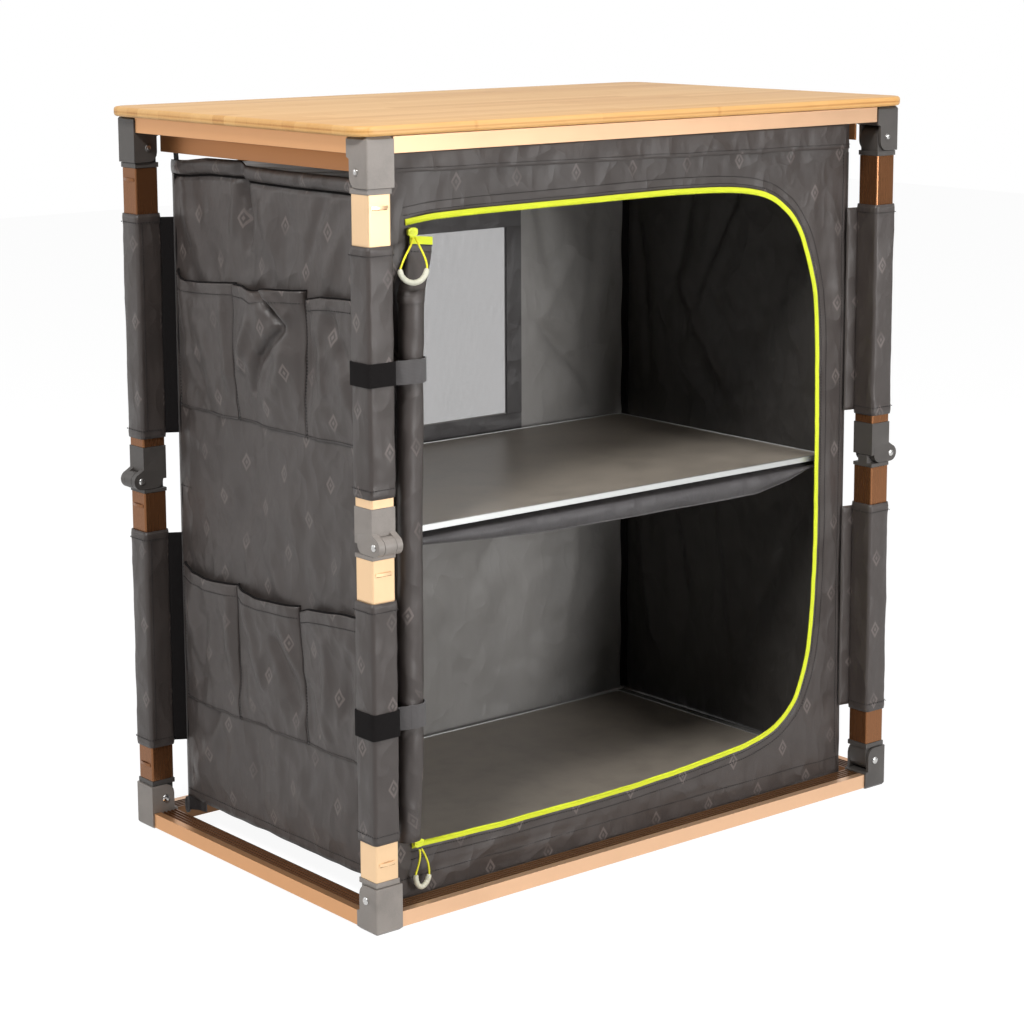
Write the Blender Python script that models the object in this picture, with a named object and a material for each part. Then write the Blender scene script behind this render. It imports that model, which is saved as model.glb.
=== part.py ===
"""A folding camp kitchen cupboard: bamboo top, folding aluminium frame and a fabric cabinet.

Metres, +Z up, +X to the right along the front, front towards -Y. The origin is on the floor, under the
middle of the tabletop. Each leg folds inwards at a knee, along its own side of the frame. The four legs
are quarter turns of one leg, so a leg is drawn once in corner coordinates: x inwards across the fold,
y inwards along it, both from the frame's outer corner, and z up.
"""

import math

import bmesh
import bpy
from mathutils import Matrix, Vector

# Frame, measured over the corner brackets
WIDTH = 0.700
DEPTH = 0.426
TOP_HEIGHT = 0.749
GAP = 0.0003

# Tabletop
TOP_THICK = 0.010
TOP_OVERHANG_X = 0.011
TOP_OVERHANG_Y = 0.004
TOP_CORNER = 0.022
BULLNOSE = 0.003

# Corner brackets
BRACKET = 0.031
BRACKET_WALL = 0.0032
BRACKET_EDGE = 0.0145
EAR_REACH = 0.027
EAR_ROUND = 0.010
SOCKET_LENGTH = 0.012
FOOT_CHAMFER = 0.0025

# Rails
RAIL_WIDTH = 0.027
RAIL_INSET = 0.0015
RAIL_WALL = 0.0015
BASE_RAIL_LOW = 0.002
BASE_RAIL_HIGH = 0.017
TOP_RAIL_DROP = 0.016
RAIL_GROOVES = 4
GROOVE_WIDTH = 0.0026
GROOVE_DEPTH = 0.0012
LIP_INNER = 0.033
LIP_THICK = 0.0024
LIP_DROP = 0.036
LIP_WEB = 0.003

# Leg tubes, plugs and knees
TUBE = 0.026
TUBE_WALL = 0.0015
TUBE_ROUND = 0.0015
BASE_PIVOT = 0.031
TOP_PIVOT = 0.032
PIVOT_IN = 0.0165
LUG_RADIUS = 0.011
COLLAR_START = 0.015
COLLAR_HEIGHT = 0.005
COLLAR_SIZE = 0.0274
PLUG_LENGTH = 0.015
PIN_RADIUS = 0.0025
BORE_RADIUS = 0.0027
HEAD_RADIUS = 0.0034
HEAD_THICK = 0.0010
KNEE_PIN_OUT = -0.00075
KNUCKLE_RADIUS = 0.009
KNEE_UP = 0.035
KNEE_DOWN = 0.013
KNEE_SIZE = 0.027
CHEEK = 0.0066

# Leg sleeves
SLEEVE_WALL = 0.0012
LOWER_SLEEVE = (0.088, 0.320)
UPPER_SLEEVE = (0.418, 0.650)

# Fabric cabinet
CABINET_SIDE = 0.308
CABINET_FRONT = -0.178
CABINET_BACK = 0.174
CABINET_LOW = 0.0305
CABINET_HIGH = 0.700
CLOTH = 0.0015
FRONT_BAND_HIGH = 0.7315
SLING_LOW = 0.3625
POCKET_ROWS = ((0.447, 0.580), (0.137, 0.272))
POCKET_EDGES = (0.166, 0.083, -0.050, -0.164)
POCKET_BULGE = 0.008
DOOR_LEFT = -0.281
DOOR_RIGHT = 0.273
DOOR_LOW = 0.066
DOOR_HIGH = 0.670
DOOR_ROUND = 0.120
ZIP_WIDTH = 0.007
ZIP_THICK = 0.0012

# Rolled-up door
ROLL_X = -0.284
ROLL_Y = -0.1935
ROLL_RADIUS = 0.0105
ROLL_LOW = 0.082
ROLL_HIGH = 0.640
ROLL_STRAPS = (0.203, 0.533)

# Boards
BOARD_X = 0.287
BOARD_FRONT = -0.172
BOARD_BACK = 0.158
BOARD_THICK = 0.005
FLOOR_BOARD_LOW = 0.0325
SHELF_HIGH = 0.375

# Zip sliders, tab and pulls
SLIDER_X = -0.277
SLIDER_SIZE = Vector((0.011, 0.0045, 0.008))
SLIDER_BACK = -0.182
TOP_SLIDER_Z = 0.657
LOW_SLIDER_Z = 0.068
TAB_X = (-0.2715, -0.255)
TAB_Y = (-0.1812, -0.1798)
TAB_Z = (0.6505, 0.6585)
CORD_RADIUS = 0.001
CORD_DROP = 0.0015
GRIP_RADIUS = 0.0027
GRIP_BORE = 0.0014
GRIP_SHARE = (0.29, 0.69)

# Each pull's loop from the slider and back, as x, y and z from the slider's eye
TOP_PULL = (
    (-0.0013, 0.0, 0.0),
    (-0.0117, -0.0095, -0.0056),
    (-0.0233, -0.0170, -0.0132),
    (-0.0305, -0.0200, -0.0216),
    (-0.0329, -0.0215, -0.0272),
    (-0.0287, -0.0220, -0.0339),
    (-0.0190, -0.0222, -0.0379),
    (-0.0090, -0.0220, -0.0360),
    (-0.0031, -0.0215, -0.0296),
    (-0.0010, -0.0200, -0.0230),
    (-0.0020, -0.0170, -0.0144),
    (-0.0015, -0.0095, -0.0062),
    (0.0013, 0.0, 0.0),
)
LOW_PULL = (
    (-0.0013, 0.0, 0.0),
    (-0.0012, -0.0007, -0.0067),
    (-0.0040, -0.0013, -0.0157),
    (-0.0066, -0.0015, -0.0215),
    (-0.0074, -0.0017, -0.0263),
    (-0.0059, -0.0019, -0.0332),
    (-0.0015, -0.0020, -0.0372),
    (0.0042, -0.0019, -0.0351),
    (0.0080, -0.0017, -0.0295),
    (0.0090, -0.0015, -0.0237),
    (0.0078, -0.0013, -0.0154),
    (0.0045, -0.0007, -0.0064),
    (0.0013, 0.0, 0.0),
)

PIN_SIDES = 16
KNUCKLE_SIDES = 24

LEGS = {
    "front_left": (-WIDTH / 2, -DEPTH / 2, 0),
    "back_left": (-WIDTH / 2, DEPTH / 2, -90),
    "back_right": (WIDTH / 2, DEPTH / 2, 180),
    "front_right": (WIDTH / 2, -DEPTH / 2, 90),
}
BASE_RAIL_ROOF = BASE_RAIL_HIGH - GROOVE_DEPTH - RAIL_WALL
KNEE_HEIGHT = (BASE_PIVOT + TOP_HEIGHT - TOP_PIVOT) / 2
HALF_LEG = KNEE_HEIGHT - BASE_PIVOT
MIDDLE = BRACKET / 2


def clear_scene():
    """Empties the scene that the script runs in."""
    for thing in list(bpy.data.objects):
        bpy.data.objects.remove(thing, do_unlink=True)


def linear(value):
    """The linear value of one sRGB channel."""
    if value <= 0.04045:
        return value / 12.92
    return ((value + 0.055) / 1.055) ** 2.4


def finish(name, colour, roughness, metallic=0.0):
    """A Principled material of an 8-bit sRGB colour."""
    material = bpy.data.materials.new(name)
    material.use_nodes = True
    shader = material.node_tree.nodes["Principled BSDF"]
    shader.inputs["Base Color"].default_value = (*(linear(c / 255) for c in colour), 1.0)
    shader.inputs["Roughness"].default_value = roughness
    shader.inputs["Metallic"].default_value = metallic
    return material


def arc(centre, radius, start, end, steps):
    """Points along an arc, from the start to the end angle in degrees."""
    points = []
    for step in range(steps + 1):
        angle = math.radians(start + (end - start) * step / steps)
        points.append((centre[0] + radius * math.cos(angle), centre[1] + radius * math.sin(angle)))
    return points


def rounded_rectangle(low, high, radius, steps):
    """A rectangle with round corners, anticlockwise."""
    x0, y0 = low
    x1, y1 = high
    return (
        arc((x0 + radius, y0 + radius), radius, 180, 270, steps)
        + arc((x1 - radius, y0 + radius), radius, 270, 360, steps)
        + arc((x1 - radius, y1 - radius), radius, 0, 90, steps)
        + arc((x0 + radius, y1 - radius), radius, 90, 180, steps)
    )


def along(axis, flat, height):
    """A point of an outline that is extruded along X, Y or Z."""
    if axis == "X":
        return Vector((height, flat[0], flat[1]))
    if axis == "Y":
        return Vector((flat[0], height, flat[1]))
    return Vector((flat[0], flat[1], height))


def mesh_of(shape):
    """The mesh of a closed bmesh, with its faces pointing out."""
    bmesh.ops.remove_doubles(shape, verts=shape.verts, dist=1e-6)
    bmesh.ops.recalc_face_normals(shape, faces=shape.faces)
    mesh = bpy.data.meshes.new("shape")
    shape.to_mesh(mesh)
    shape.free()
    return mesh


def loft(rings, closed=True):
    """A closed solid through rings with the same number of points."""
    shape = bmesh.new()
    rows = [[shape.verts.new(point) for point in ring] for ring in rings]
    count = len(rows[0])
    for lower, upper in zip(rows, rows[1:]):
        for i in range(count):
            j = (i + 1) % count
            shape.faces.new((lower[i], lower[j], upper[j], upper[i]))
    if closed:
        shape.faces.new(reversed(rows[0]))
        shape.faces.new(rows[-1])
    return mesh_of(shape)


def prism(outline, axis, low, high):
    """An outline extruded along an axis from low to high."""
    return loft([[along(axis, flat, height) for flat in outline] for height in (low, high)])


def block(low, high):
    """A box between two corners."""
    x0, y0, z0 = low
    x1, y1, z1 = high
    return prism([(x0, y0), (x1, y0), (x1, y1), (x0, y1)], "Z", z0, z1)


def rod(centre, radius, low, high, sides, axis="X"):
    """A round bar along an axis."""
    outline = arc(centre, radius, 0, 360, sides)[:-1]
    return prism(outline, axis, low, high)


def pipe(outer, inner, axis, low, high):
    """A straight tube between two outlines with the same number of points."""
    rings = [
        [along(axis, flat, low) for flat in outer],
        [along(axis, flat, high) for flat in outer],
        [along(axis, flat, high) for flat in inner],
        [along(axis, flat, low) for flat in inner],
    ]
    rings.append(rings[0])
    return loft(rings, closed=False)


def combine(mesh, others, operation):
    """The union of a mesh with others, or what is left when they are cut from it."""
    base = bpy.data.objects.new("base", mesh)
    bpy.context.scene.collection.objects.link(base)
    for other in others:
        tool = bpy.data.objects.new("tool", other)
        bpy.context.scene.collection.objects.link(tool)
        step = base.modifiers.new("step", "BOOLEAN")
        step.operation = operation
        step.solver = "EXACT"
        step.object = tool
        bpy.context.view_layer.update()
        evaluated = base.evaluated_get(bpy.context.evaluated_depsgraph_get())
        result = bpy.data.meshes.new_from_object(evaluated)
        base.modifiers.remove(step)
        base.data = result
        bpy.data.objects.remove(tool)
    result = base.data
    bpy.data.objects.remove(base)
    return result


def merged(mesh, *others):
    """One solid made of several that overlap."""
    return combine(mesh, others, "UNION")


def cut(mesh, *others):
    """A solid without the others."""
    return combine(mesh, others, "DIFFERENCE")


def moved(mesh, matrix):
    """A copy of a mesh through a matrix, with its faces pointing out."""
    shape = bmesh.new()
    shape.from_mesh(mesh)
    shape.transform(matrix)
    return mesh_of(shape)


def upside_down(mesh):
    """A mesh mirrored in the floor."""
    return moved(mesh, Matrix.Diagonal((1, 1, -1, 1)))


def add(name, mesh, material, parent=None, location=(0, 0, 0)):
    """One sub-part in the scene."""
    if not mesh.materials:
        mesh.materials.append(material)
    mesh.shade_smooth()
    mesh.set_sharp_from_angle(angle=math.radians(30))
    part = bpy.data.objects.new(name, mesh)
    bpy.context.scene.collection.objects.link(part)
    part.location = location
    part.parent = parent
    return part


def joint_empty(name, corner, local):
    """An empty on a joint's axis, turned as its leg is."""
    x, y, turn = corner
    empty = bpy.data.objects.new(name, None)
    bpy.context.scene.collection.objects.link(empty)
    turned = Matrix.Rotation(math.radians(turn), 3, "Z") @ Vector(local)
    empty.location = Vector((x, y, 0)) + turned
    empty.rotation_euler = (0, 0, math.radians(turn))
    return empty


def make_bracket(pivot):
    """A corner bracket with its foot at z 0: two ears, an outer wall and a spigot for each rail."""
    height = pivot + BRACKET_EDGE
    shoulder = pivot - COLLAR_START + 0.0020
    side = [(0, 0), (BRACKET, 0), (BRACKET, shoulder), (EAR_REACH, shoulder + 0.0015)]
    side += arc((EAR_REACH - EAR_ROUND, height - EAR_ROUND), EAR_ROUND, 0, 90, 4)
    side.append((0, height))
    body = prism(side, "X", 0, BRACKET)
    shape = bmesh.new()
    shape.from_mesh(body)
    corner = [e for e in shape.edges if all(abs(v.co.x) + abs(v.co.y) < 1e-6 for v in e.verts)]
    bmesh.ops.bevel(shape, geom=corner, offset=0.0016, segments=2, profile=0.5, affect="EDGES")
    foot = [e for e in shape.edges if all(abs(v.co.z) < 1e-6 for v in e.verts)]
    bmesh.ops.bevel(shape, geom=foot, offset=FOOT_CHAMFER, segments=1, affect="EDGES")
    body = mesh_of(shape)
    floor = pivot - LUG_RADIUS - 0.0010
    pocket = block((BRACKET_WALL, BRACKET_WALL, floor), (BRACKET - BRACKET_WALL, 0.05, height + 0.01))
    bore = rod((PIVOT_IN, pivot), BORE_RADIUS, -0.01, BRACKET + 0.01, PIN_SIDES)
    return cut(body, pocket, bore)


def add_spigots(bracket, low, high):
    """The bracket with a spigot that fills the end of each of its two rails, hollow from low to high."""
    inner = RAIL_INSET + RAIL_WALL + GAP
    outer = RAIL_INSET + RAIL_WIDTH - RAIL_WALL - GAP
    z0 = low + GAP
    z1 = high - GAP
    start = BRACKET - 0.002
    end = BRACKET + SOCKET_LENGTH
    along_fold = block((inner, start, z0), (outer, end, z1))
    across_fold = block((start, inner, z0), (end, outer, z1))
    return merged(bracket, along_fold, across_fold)


def make_end_plug():
    """A leg's end plug, with its pivot at z 0 and the leg above: lug, pin, collar and tube insert."""
    low = MIDDLE - COLLAR_SIZE / 2
    high = MIDDLE + COLLAR_SIZE / 2
    insert = TUBE / 2 - TUBE_WALL - GAP
    side = arc((PIVOT_IN, 0), LUG_RADIUS, 180, 360, 8)
    side += [(PIVOT_IN + LUG_RADIUS, COLLAR_START + 0.001), (PIVOT_IN - LUG_RADIUS, COLLAR_START + 0.001)]
    lug = prism(side, "X", BRACKET_WALL + 0.0004, BRACKET - BRACKET_WALL - 0.0004)
    top = COLLAR_START + COLLAR_HEIGHT
    collar = block((low, low, COLLAR_START), (high, high, top))
    peg = block(
        (MIDDLE - insert, MIDDLE - insert, top - 0.001),
        (MIDDLE + insert, MIDDLE + insert, top + PLUG_LENGTH),
    )
    pin = rod((PIVOT_IN, 0), PIN_RADIUS, -GAP - 0.0001, BRACKET + GAP + 0.0001, PIN_SIDES)
    head_near = rod((PIVOT_IN, 0), HEAD_RADIUS, -GAP - HEAD_THICK, -GAP, PIN_SIDES)
    head_far = rod((PIVOT_IN, 0), HEAD_RADIUS, BRACKET + GAP, BRACKET + GAP + HEAD_THICK, PIN_SIDES)
    return merged(lug, collar, peg, pin, head_near, head_far)


def make_tube(length):
    """A square leg tube from z 0 up."""
    outer_low = MIDDLE - TUBE / 2
    outer_high = MIDDLE + TUBE / 2
    outer = rounded_rectangle((outer_low, outer_low), (outer_high, outer_high), TUBE_ROUND, 2)
    low = outer_low + TUBE_WALL
    high = outer_high - TUBE_WALL
    inner = rounded_rectangle((low, low), (high, high), TUBE_ROUND / 3, 2)
    return pipe(outer, inner, "Z", 0, length)


def knee_insert(low, high):
    """The square peg of a knee casting inside its tube."""
    half = TUBE / 2 - TUBE_WALL - GAP
    return block((MIDDLE - half, MIDDLE - half, low), (MIDDLE + half, MIDDLE + half, high))


def make_lower_knee():
    """The lower knee casting, with the knee pin's axis at z 0: collar, middle knuckle and peg."""
    low = MIDDLE - KNEE_SIZE / 2
    high = MIDDLE + KNEE_SIZE / 2
    collar_top = -KNUCKLE_RADIUS - 0.0002
    collar = block((low, low, -KNEE_DOWN), (high, high, collar_top))
    start = low + CHEEK + 0.0004
    end = high - CHEEK - 0.0004
    seat = block((start, low, collar_top - 0.001), (end, high, -GAP))
    knuckle = rod((KNEE_PIN_OUT, 0), KNUCKLE_RADIUS, start, end, KNUCKLE_SIDES)
    peg = knee_insert(-KNEE_DOWN - PLUG_LENGTH, -KNEE_DOWN + 0.001)
    bore = rod((KNEE_PIN_OUT, 0), BORE_RADIUS, -0.01, BRACKET + 0.01, PIN_SIDES)
    return cut(merged(collar, seat, knuckle, peg), bore)


def make_upper_knee():
    """The upper knee casting: body, two cheeks round the knuckle, the pressed pin and the peg."""
    low = MIDDLE - KNEE_SIZE / 2
    high = MIDDLE + KNEE_SIZE / 2
    body = block((low, low, GAP), (high, high, KNEE_UP))
    room = rod((KNEE_PIN_OUT, 0), KNUCKLE_RADIUS + 0.0004, low + CHEEK, high - CHEEK, KNUCKLE_SIDES)
    body = cut(body, room)
    radius = KNUCKLE_RADIUS - 0.0002
    cheek = arc((KNEE_PIN_OUT, 0), radius, 110, 270, 10)
    cheek += arc((0.016, GAP), radius + GAP, 270, 360, 4)
    cheek += [(0.0251, 0.009), (low + 0.0002, 0.012)]
    near = prism(cheek, "X", low - 0.0001, low + CHEEK)
    far = prism(cheek, "X", high - CHEEK, high + 0.0001)
    pin = rod((KNEE_PIN_OUT, 0), PIN_RADIUS, low - 0.0005, high + 0.0005, PIN_SIDES)
    peg = knee_insert(KNEE_UP - 0.001, KNEE_UP + PLUG_LENGTH)
    return merged(body, near, far, pin, peg)


def make_sleeve(length):
    """A fabric sleeve round a leg tube."""
    inner_half = TUBE / 2 + GAP
    outer_half = inner_half + SLEEVE_WALL
    inner = rounded_rectangle(
        (MIDDLE - inner_half, MIDDLE - inner_half), (MIDDLE + inner_half, MIDDLE + inner_half), 0.002, 2
    )
    outer = rounded_rectangle(
        (MIDDLE - outer_half, MIDDLE - outer_half), (MIDDLE + outer_half, MIDDLE + outer_half), 0.003, 2
    )
    return pipe(outer, inner, "Z", 0, length)


def make_rail(length, low, high, grooved, lipped):
    """A rail along Y from y 0, its outer side at x RAIL_INSET: hollow, with its ribs and its hanging lip."""
    x0 = RAIL_INSET
    x1 = RAIL_INSET + RAIL_WIDTH
    outline = [(x0, low), (x1, low)]
    if grooved:
        pitch = GROOVE_WIDTH * 1.7
        start = x1 - 0.0022
        outline.append((x1, high))
        for groove in range(RAIL_GROOVES):
            right = start - groove * pitch
            left = right - GROOVE_WIDTH
            outline += [(right, high), (right, high - GROOVE_DEPTH)]
            outline += [(left, high - GROOVE_DEPTH), (left, high)]
    elif lipped:
        outline += [(x1, high - LIP_WEB), (LIP_INNER - LIP_THICK, high - LIP_WEB)]
        outline += [(LIP_INNER - LIP_THICK, high - LIP_DROP), (LIP_INNER, high - LIP_DROP)]
        outline.append((LIP_INNER, high))
    else:
        outline.append((x1, high))
    outline.append((x0, high))
    rail = prism([(x, z) for x, z in outline], "Y", 0, length)
    roof = BASE_RAIL_ROOF if grooved else high - RAIL_WALL
    floor = low + RAIL_WALL
    hollow = block((x0 + RAIL_WALL, -0.01, floor), (x1 - RAIL_WALL, length + 0.01, roof))
    return cut(rail, hollow)


def make_tabletop():
    """The tabletop: a panel with round corners and a rounded edge."""
    half_x = WIDTH / 2 + TOP_OVERHANG_X
    half_y = DEPTH / 2 + TOP_OVERHANG_Y
    low = TOP_HEIGHT + GAP
    high = TOP_HEIGHT + TOP_THICK
    middle = (low + high) / 2
    levels = ((low, BULLNOSE), (low + 0.0018, 0.0008), (middle, 0.0))
    levels += ((high - 0.0018, 0.0008), (high, BULLNOSE))
    rings = []
    for height, inset in levels:
        outline = rounded_rectangle(
            (inset - half_x, inset - half_y), (half_x - inset, half_y - inset), TOP_CORNER - inset, 5
        )
        rings.append([Vector((x, y, height)) for x, y in outline])
    return loft(rings)


def make_board(low, high):
    """A stiff board of the cabinet, the size of its floor."""
    outline = rounded_rectangle((-BOARD_X, BOARD_FRONT), (BOARD_X, BOARD_BACK), 0.006, 2)
    return prism(outline, "Z", low, high)


def door_outline(grow):
    """The cabinet's door opening: square on the left, where the door is rolled, and round on the right."""
    radius = DOOR_ROUND + grow
    low = DOOR_LOW - grow
    high = DOOR_HIGH + grow
    right = DOOR_RIGHT + grow
    outline = [(DOOR_LEFT, low)]
    outline += arc((right - radius, low + radius), radius, 270, 360, 8)
    outline += arc((right - radius, high - radius), radius, 0, 90, 8)
    outline.append((DOOR_LEFT, high))
    return outline


def make_cabinet():
    """The fabric cabinet: walls, floor, roof, shelf sling, zip rim and the left wall's pockets."""
    side = CABINET_SIDE
    shell = block((-side, CABINET_FRONT, CABINET_LOW), (side, CABINET_BACK, CABINET_HIGH))
    band = block(
        (-side, CABINET_FRONT, CABINET_HIGH - 0.002), (side, CABINET_FRONT + CLOTH, FRONT_BAND_HIGH)
    )
    rim = prism(door_outline(ZIP_WIDTH), "Y", CABINET_FRONT - ZIP_THICK, CABINET_FRONT + CLOTH / 2)
    outside = merged(shell, band, rim)
    for low, high in POCKET_ROWS:
        for back, front in zip(POCKET_EDGES, POCKET_EDGES[1:]):
            outline = [(-side + 0.001, low), (-side + 0.001, high), (-side - POCKET_BULGE, high)]
            outline += [(-side - POCKET_BULGE, high - 0.05), (-side - 0.001, low)]
            outside = merged(outside, prism(outline, "Y", front + 0.0015, back - 0.0015))
    inside = block(
        (CLOTH - side, CABINET_FRONT + CLOTH, CABINET_LOW + CLOTH),
        (side - CLOTH, CABINET_BACK - CLOTH, CABINET_HIGH - CLOTH),
    )
    door = prism(door_outline(0), "Y", CABINET_FRONT - 0.02, CABINET_FRONT + 0.02)
    sling = block(
        (CLOTH / 2 - side, BOARD_FRONT, SLING_LOW), (side - CLOTH / 2, CABINET_BACK - CLOTH / 2, SLING_LOW + CLOTH)
    )
    return merged(cut(outside, inside, door), sling)


def make_roll():
    """The rolled-up door: a soft roll, drawn in at its straps and narrow at its ends."""
    rings = []
    steps = 20
    for step in range(steps + 1):
        share = step / steps
        height = ROLL_LOW + (ROLL_HIGH - ROLL_LOW) * share
        radius = ROLL_RADIUS * (1 - 0.22 * abs(2 * share - 1) ** 6)
        for strap in ROLL_STRAPS:
            radius *= 1 - 0.10 * math.exp(-(((height - strap) / 0.022) ** 2))
        ring = []
        for turn in range(14):
            angle = math.tau * turn / 14
            wave = 1 + 0.05 * math.cos(3 * angle + 6 * share)
            x = ROLL_X + radius * wave * math.cos(angle)
            y = ROLL_Y + radius * wave * math.sin(angle)
            ring.append(Vector((x, y, height)))
        rings.append(ring)
    return loft(rings)


def smooth_route(points, steps):
    """Points of a smooth curve through the given points."""
    spread = [points[0], *points, points[-1]]
    route = []
    for before, start, end, after in zip(spread, spread[1:], spread[2:], spread[3:]):
        for step in range(steps):
            t = step / steps
            curve = 2 * start + (end - before) * t
            curve += (2 * before - 5 * start + 4 * end - after) * t * t
            curve += (3 * start - before - 3 * end + after) * t * t * t
            route.append(curve / 2)
    route.append(points[-1])
    return route


def pull_route(slider_z, shape):
    """A pull's loop in the model's own frame."""
    eye = Vector((SLIDER_X, SLIDER_BACK - SLIDER_SIZE.y, slider_z - SLIDER_SIZE.z / 2 - CORD_DROP))
    return smooth_route([eye + Vector(point) for point in shape], 2)


def add_cord(name, route, origin, material, parent):
    """A cord along a route, as a round bar with closed ends."""
    curve = bpy.data.curves.new(name, "CURVE")
    curve.dimensions = "3D"
    curve.bevel_depth = CORD_RADIUS
    curve.bevel_resolution = 2
    curve.use_fill_caps = True
    line = curve.splines.new("POLY")
    line.points.add(len(route) - 1)
    for point, place in zip(line.points, route):
        point.co = (*(place - origin), 1)
    curve.materials.append(material)
    cord = bpy.data.objects.new(name, curve)
    bpy.context.scene.collection.objects.link(cord)
    cord.parent = parent
    return cord


def make_grip(route):
    """A moulded grip: a short tube round the lowest part of a pull's loop."""
    last = len(route) - 1
    first = round(last * GRIP_SHARE[0])
    final = round(last * GRIP_SHARE[1])
    outer_rings = []
    inner_rings = []
    for i in range(first, final + 1):
        direction = (route[i + 1] - route[i - 1]).normalized()
        side = direction.cross(Vector((0, 1, 0))).normalized()
        other = direction.cross(side)
        for rings, radius in ((outer_rings, GRIP_RADIUS), (inner_rings, GRIP_BORE)):
            ring = []
            for turn in range(8):
                angle = math.tau * turn / 8
                ring.append(route[i] + (side * math.cos(angle) + other * math.sin(angle)) * radius)
            rings.append(ring)
    rings = outer_rings + inner_rings[::-1]
    rings.append(rings[0])
    return loft(rings, closed=False)


def make_slider():
    """A zip slider lying along its track: a body that narrows to the right, where the zip closes."""
    half = SLIDER_SIZE / 2
    rings = []
    for level, grow in ((-1.0, 0.75), (-0.4, 1.0), (0.5, 1.0), (1.0, 0.7)):
        outline = rounded_rectangle(
            (-half.y, -half.z * grow), (half.y, half.z * grow), half.y * 0.4, 1
        )
        rings.append([Vector((half.x * level, y, z)) for y, z in outline])
    return loft(rings)


def build_frame(bronze, plastic):
    """Rails and brackets of the base and of the top."""
    base_empty = joint_empty("base", (0, 0, 0), (0, 0, 0))
    top_empty = joint_empty("top_frame_lift", (0, 0, 0), (0, 0, TOP_HEIGHT))
    base_bracket = add_spigots(make_bracket(BASE_PIVOT), BASE_RAIL_LOW + RAIL_WALL, BASE_RAIL_ROOF)
    top_spigots = (GAP + RAIL_WALL, TOP_RAIL_DROP - RAIL_WALL)
    top_bracket = upside_down(add_spigots(make_bracket(TOP_PIVOT), *top_spigots))
    for leg, (x, y, turn) in LEGS.items():
        for level, mesh, parent in (("base", base_bracket, base_empty), ("top", top_bracket, top_empty)):
            bracket = add(f"{level}_bracket_{leg}", mesh, plastic, parent, (x, y, 0))
            bracket.rotation_euler = (0, 0, math.radians(turn))
    shift = BRACKET + GAP
    spans = {
        "left": (DEPTH - 2 * shift, (-WIDTH / 2, shift - DEPTH / 2), 0),
        "right": (DEPTH - 2 * shift, (WIDTH / 2, DEPTH / 2 - shift), 180),
        "front": (WIDTH - 2 * shift, (WIDTH / 2 - shift, -DEPTH / 2), 90),
        "back": (WIDTH - 2 * shift, (shift - WIDTH / 2, DEPTH / 2), -90),
    }
    for side, (length, (x, y), turn) in spans.items():
        base = make_rail(length, BASE_RAIL_LOW, BASE_RAIL_HIGH, True, False)
        lipped = side in ("left", "right")
        top = make_rail(length, -TOP_RAIL_DROP, -GAP, False, lipped)
        for level, mesh, parent in (("base", base, base_empty), ("top", top, top_empty)):
            rail = add(f"{level}_rail_{side}", mesh, bronze, parent, (x, y, 0))
            rail.rotation_euler = (0, 0, math.radians(turn))
    return base_empty, top_empty


def build_legs(bronze, plastic, fabric):
    """Four folding legs, each of two halves with a knee."""
    plug = make_end_plug()
    turned_plug = upside_down(plug)
    tube_start = COLLAR_START + COLLAR_HEIGHT + GAP
    lower_tube = make_tube(HALF_LEG - KNEE_DOWN - GAP - tube_start)
    upper_tube = make_tube(HALF_LEG - KNEE_UP - GAP - tube_start)
    lower_knee = make_lower_knee()
    upper_knee = make_upper_knee()
    lower_sleeve = make_sleeve(LOWER_SLEEVE[1] - LOWER_SLEEVE[0])
    upper_sleeve = make_sleeve(UPPER_SLEEVE[1] - UPPER_SLEEVE[0])
    for leg, corner in LEGS.items():
        lower = joint_empty(f"lower_leg_{leg}", corner, (MIDDLE, PIVOT_IN, BASE_PIVOT))
        upper = joint_empty(f"upper_leg_{leg}", corner, (MIDDLE, KNEE_PIN_OUT, KNEE_HEIGHT))
        at_pivot = Vector((-MIDDLE, -PIVOT_IN, 0))
        at_knee = Vector((-MIDDLE, -KNEE_PIN_OUT, 0))
        up = Vector((0, 0, 1))
        add(f"lower_plug_{leg}", plug, plastic, lower, at_pivot)
        add(f"lower_tube_{leg}", lower_tube, bronze, lower, at_pivot + up * tube_start)
        add(f"lower_knee_{leg}", lower_knee, plastic, lower, at_pivot + up * HALF_LEG)
        add(f"lower_sleeve_{leg}", lower_sleeve, fabric, lower, at_pivot + up * (LOWER_SLEEVE[0] - BASE_PIVOT))
        add(f"upper_plug_{leg}", turned_plug, plastic, upper, at_knee + up * HALF_LEG)
        add(f"upper_tube_{leg}", upper_tube, bronze, upper, at_knee + up * (KNEE_UP + GAP))
        add(f"upper_knee_{leg}", upper_knee, plastic, upper, at_knee)
        add(f"upper_sleeve_{leg}", upper_sleeve, fabric, upper, at_knee + up * (UPPER_SLEEVE[0] - KNEE_HEIGHT))


def build_cabinet(base_empty, top_empty, fabric, board, bamboo):
    """The tabletop, the fabric cabinet, its rolled-up door and its boards."""
    add("tabletop", moved(make_tabletop(), Matrix.Translation((0, 0, -TOP_HEIGHT))), bamboo, top_empty)
    add("fabric_cabinet", make_cabinet(), fabric, base_empty)
    add("rolled_door", make_roll(), fabric, base_empty)
    floor_high = FLOOR_BOARD_LOW + BOARD_THICK
    add("floor_board", make_board(FLOOR_BOARD_LOW, floor_high), board, base_empty)
    shelf_empty = joint_empty("shelf_lift", (0, 0, 0), (0, 0, SHELF_HIGH))
    add("shelf_board", make_board(-BOARD_THICK, 0), board, shelf_empty)


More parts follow.
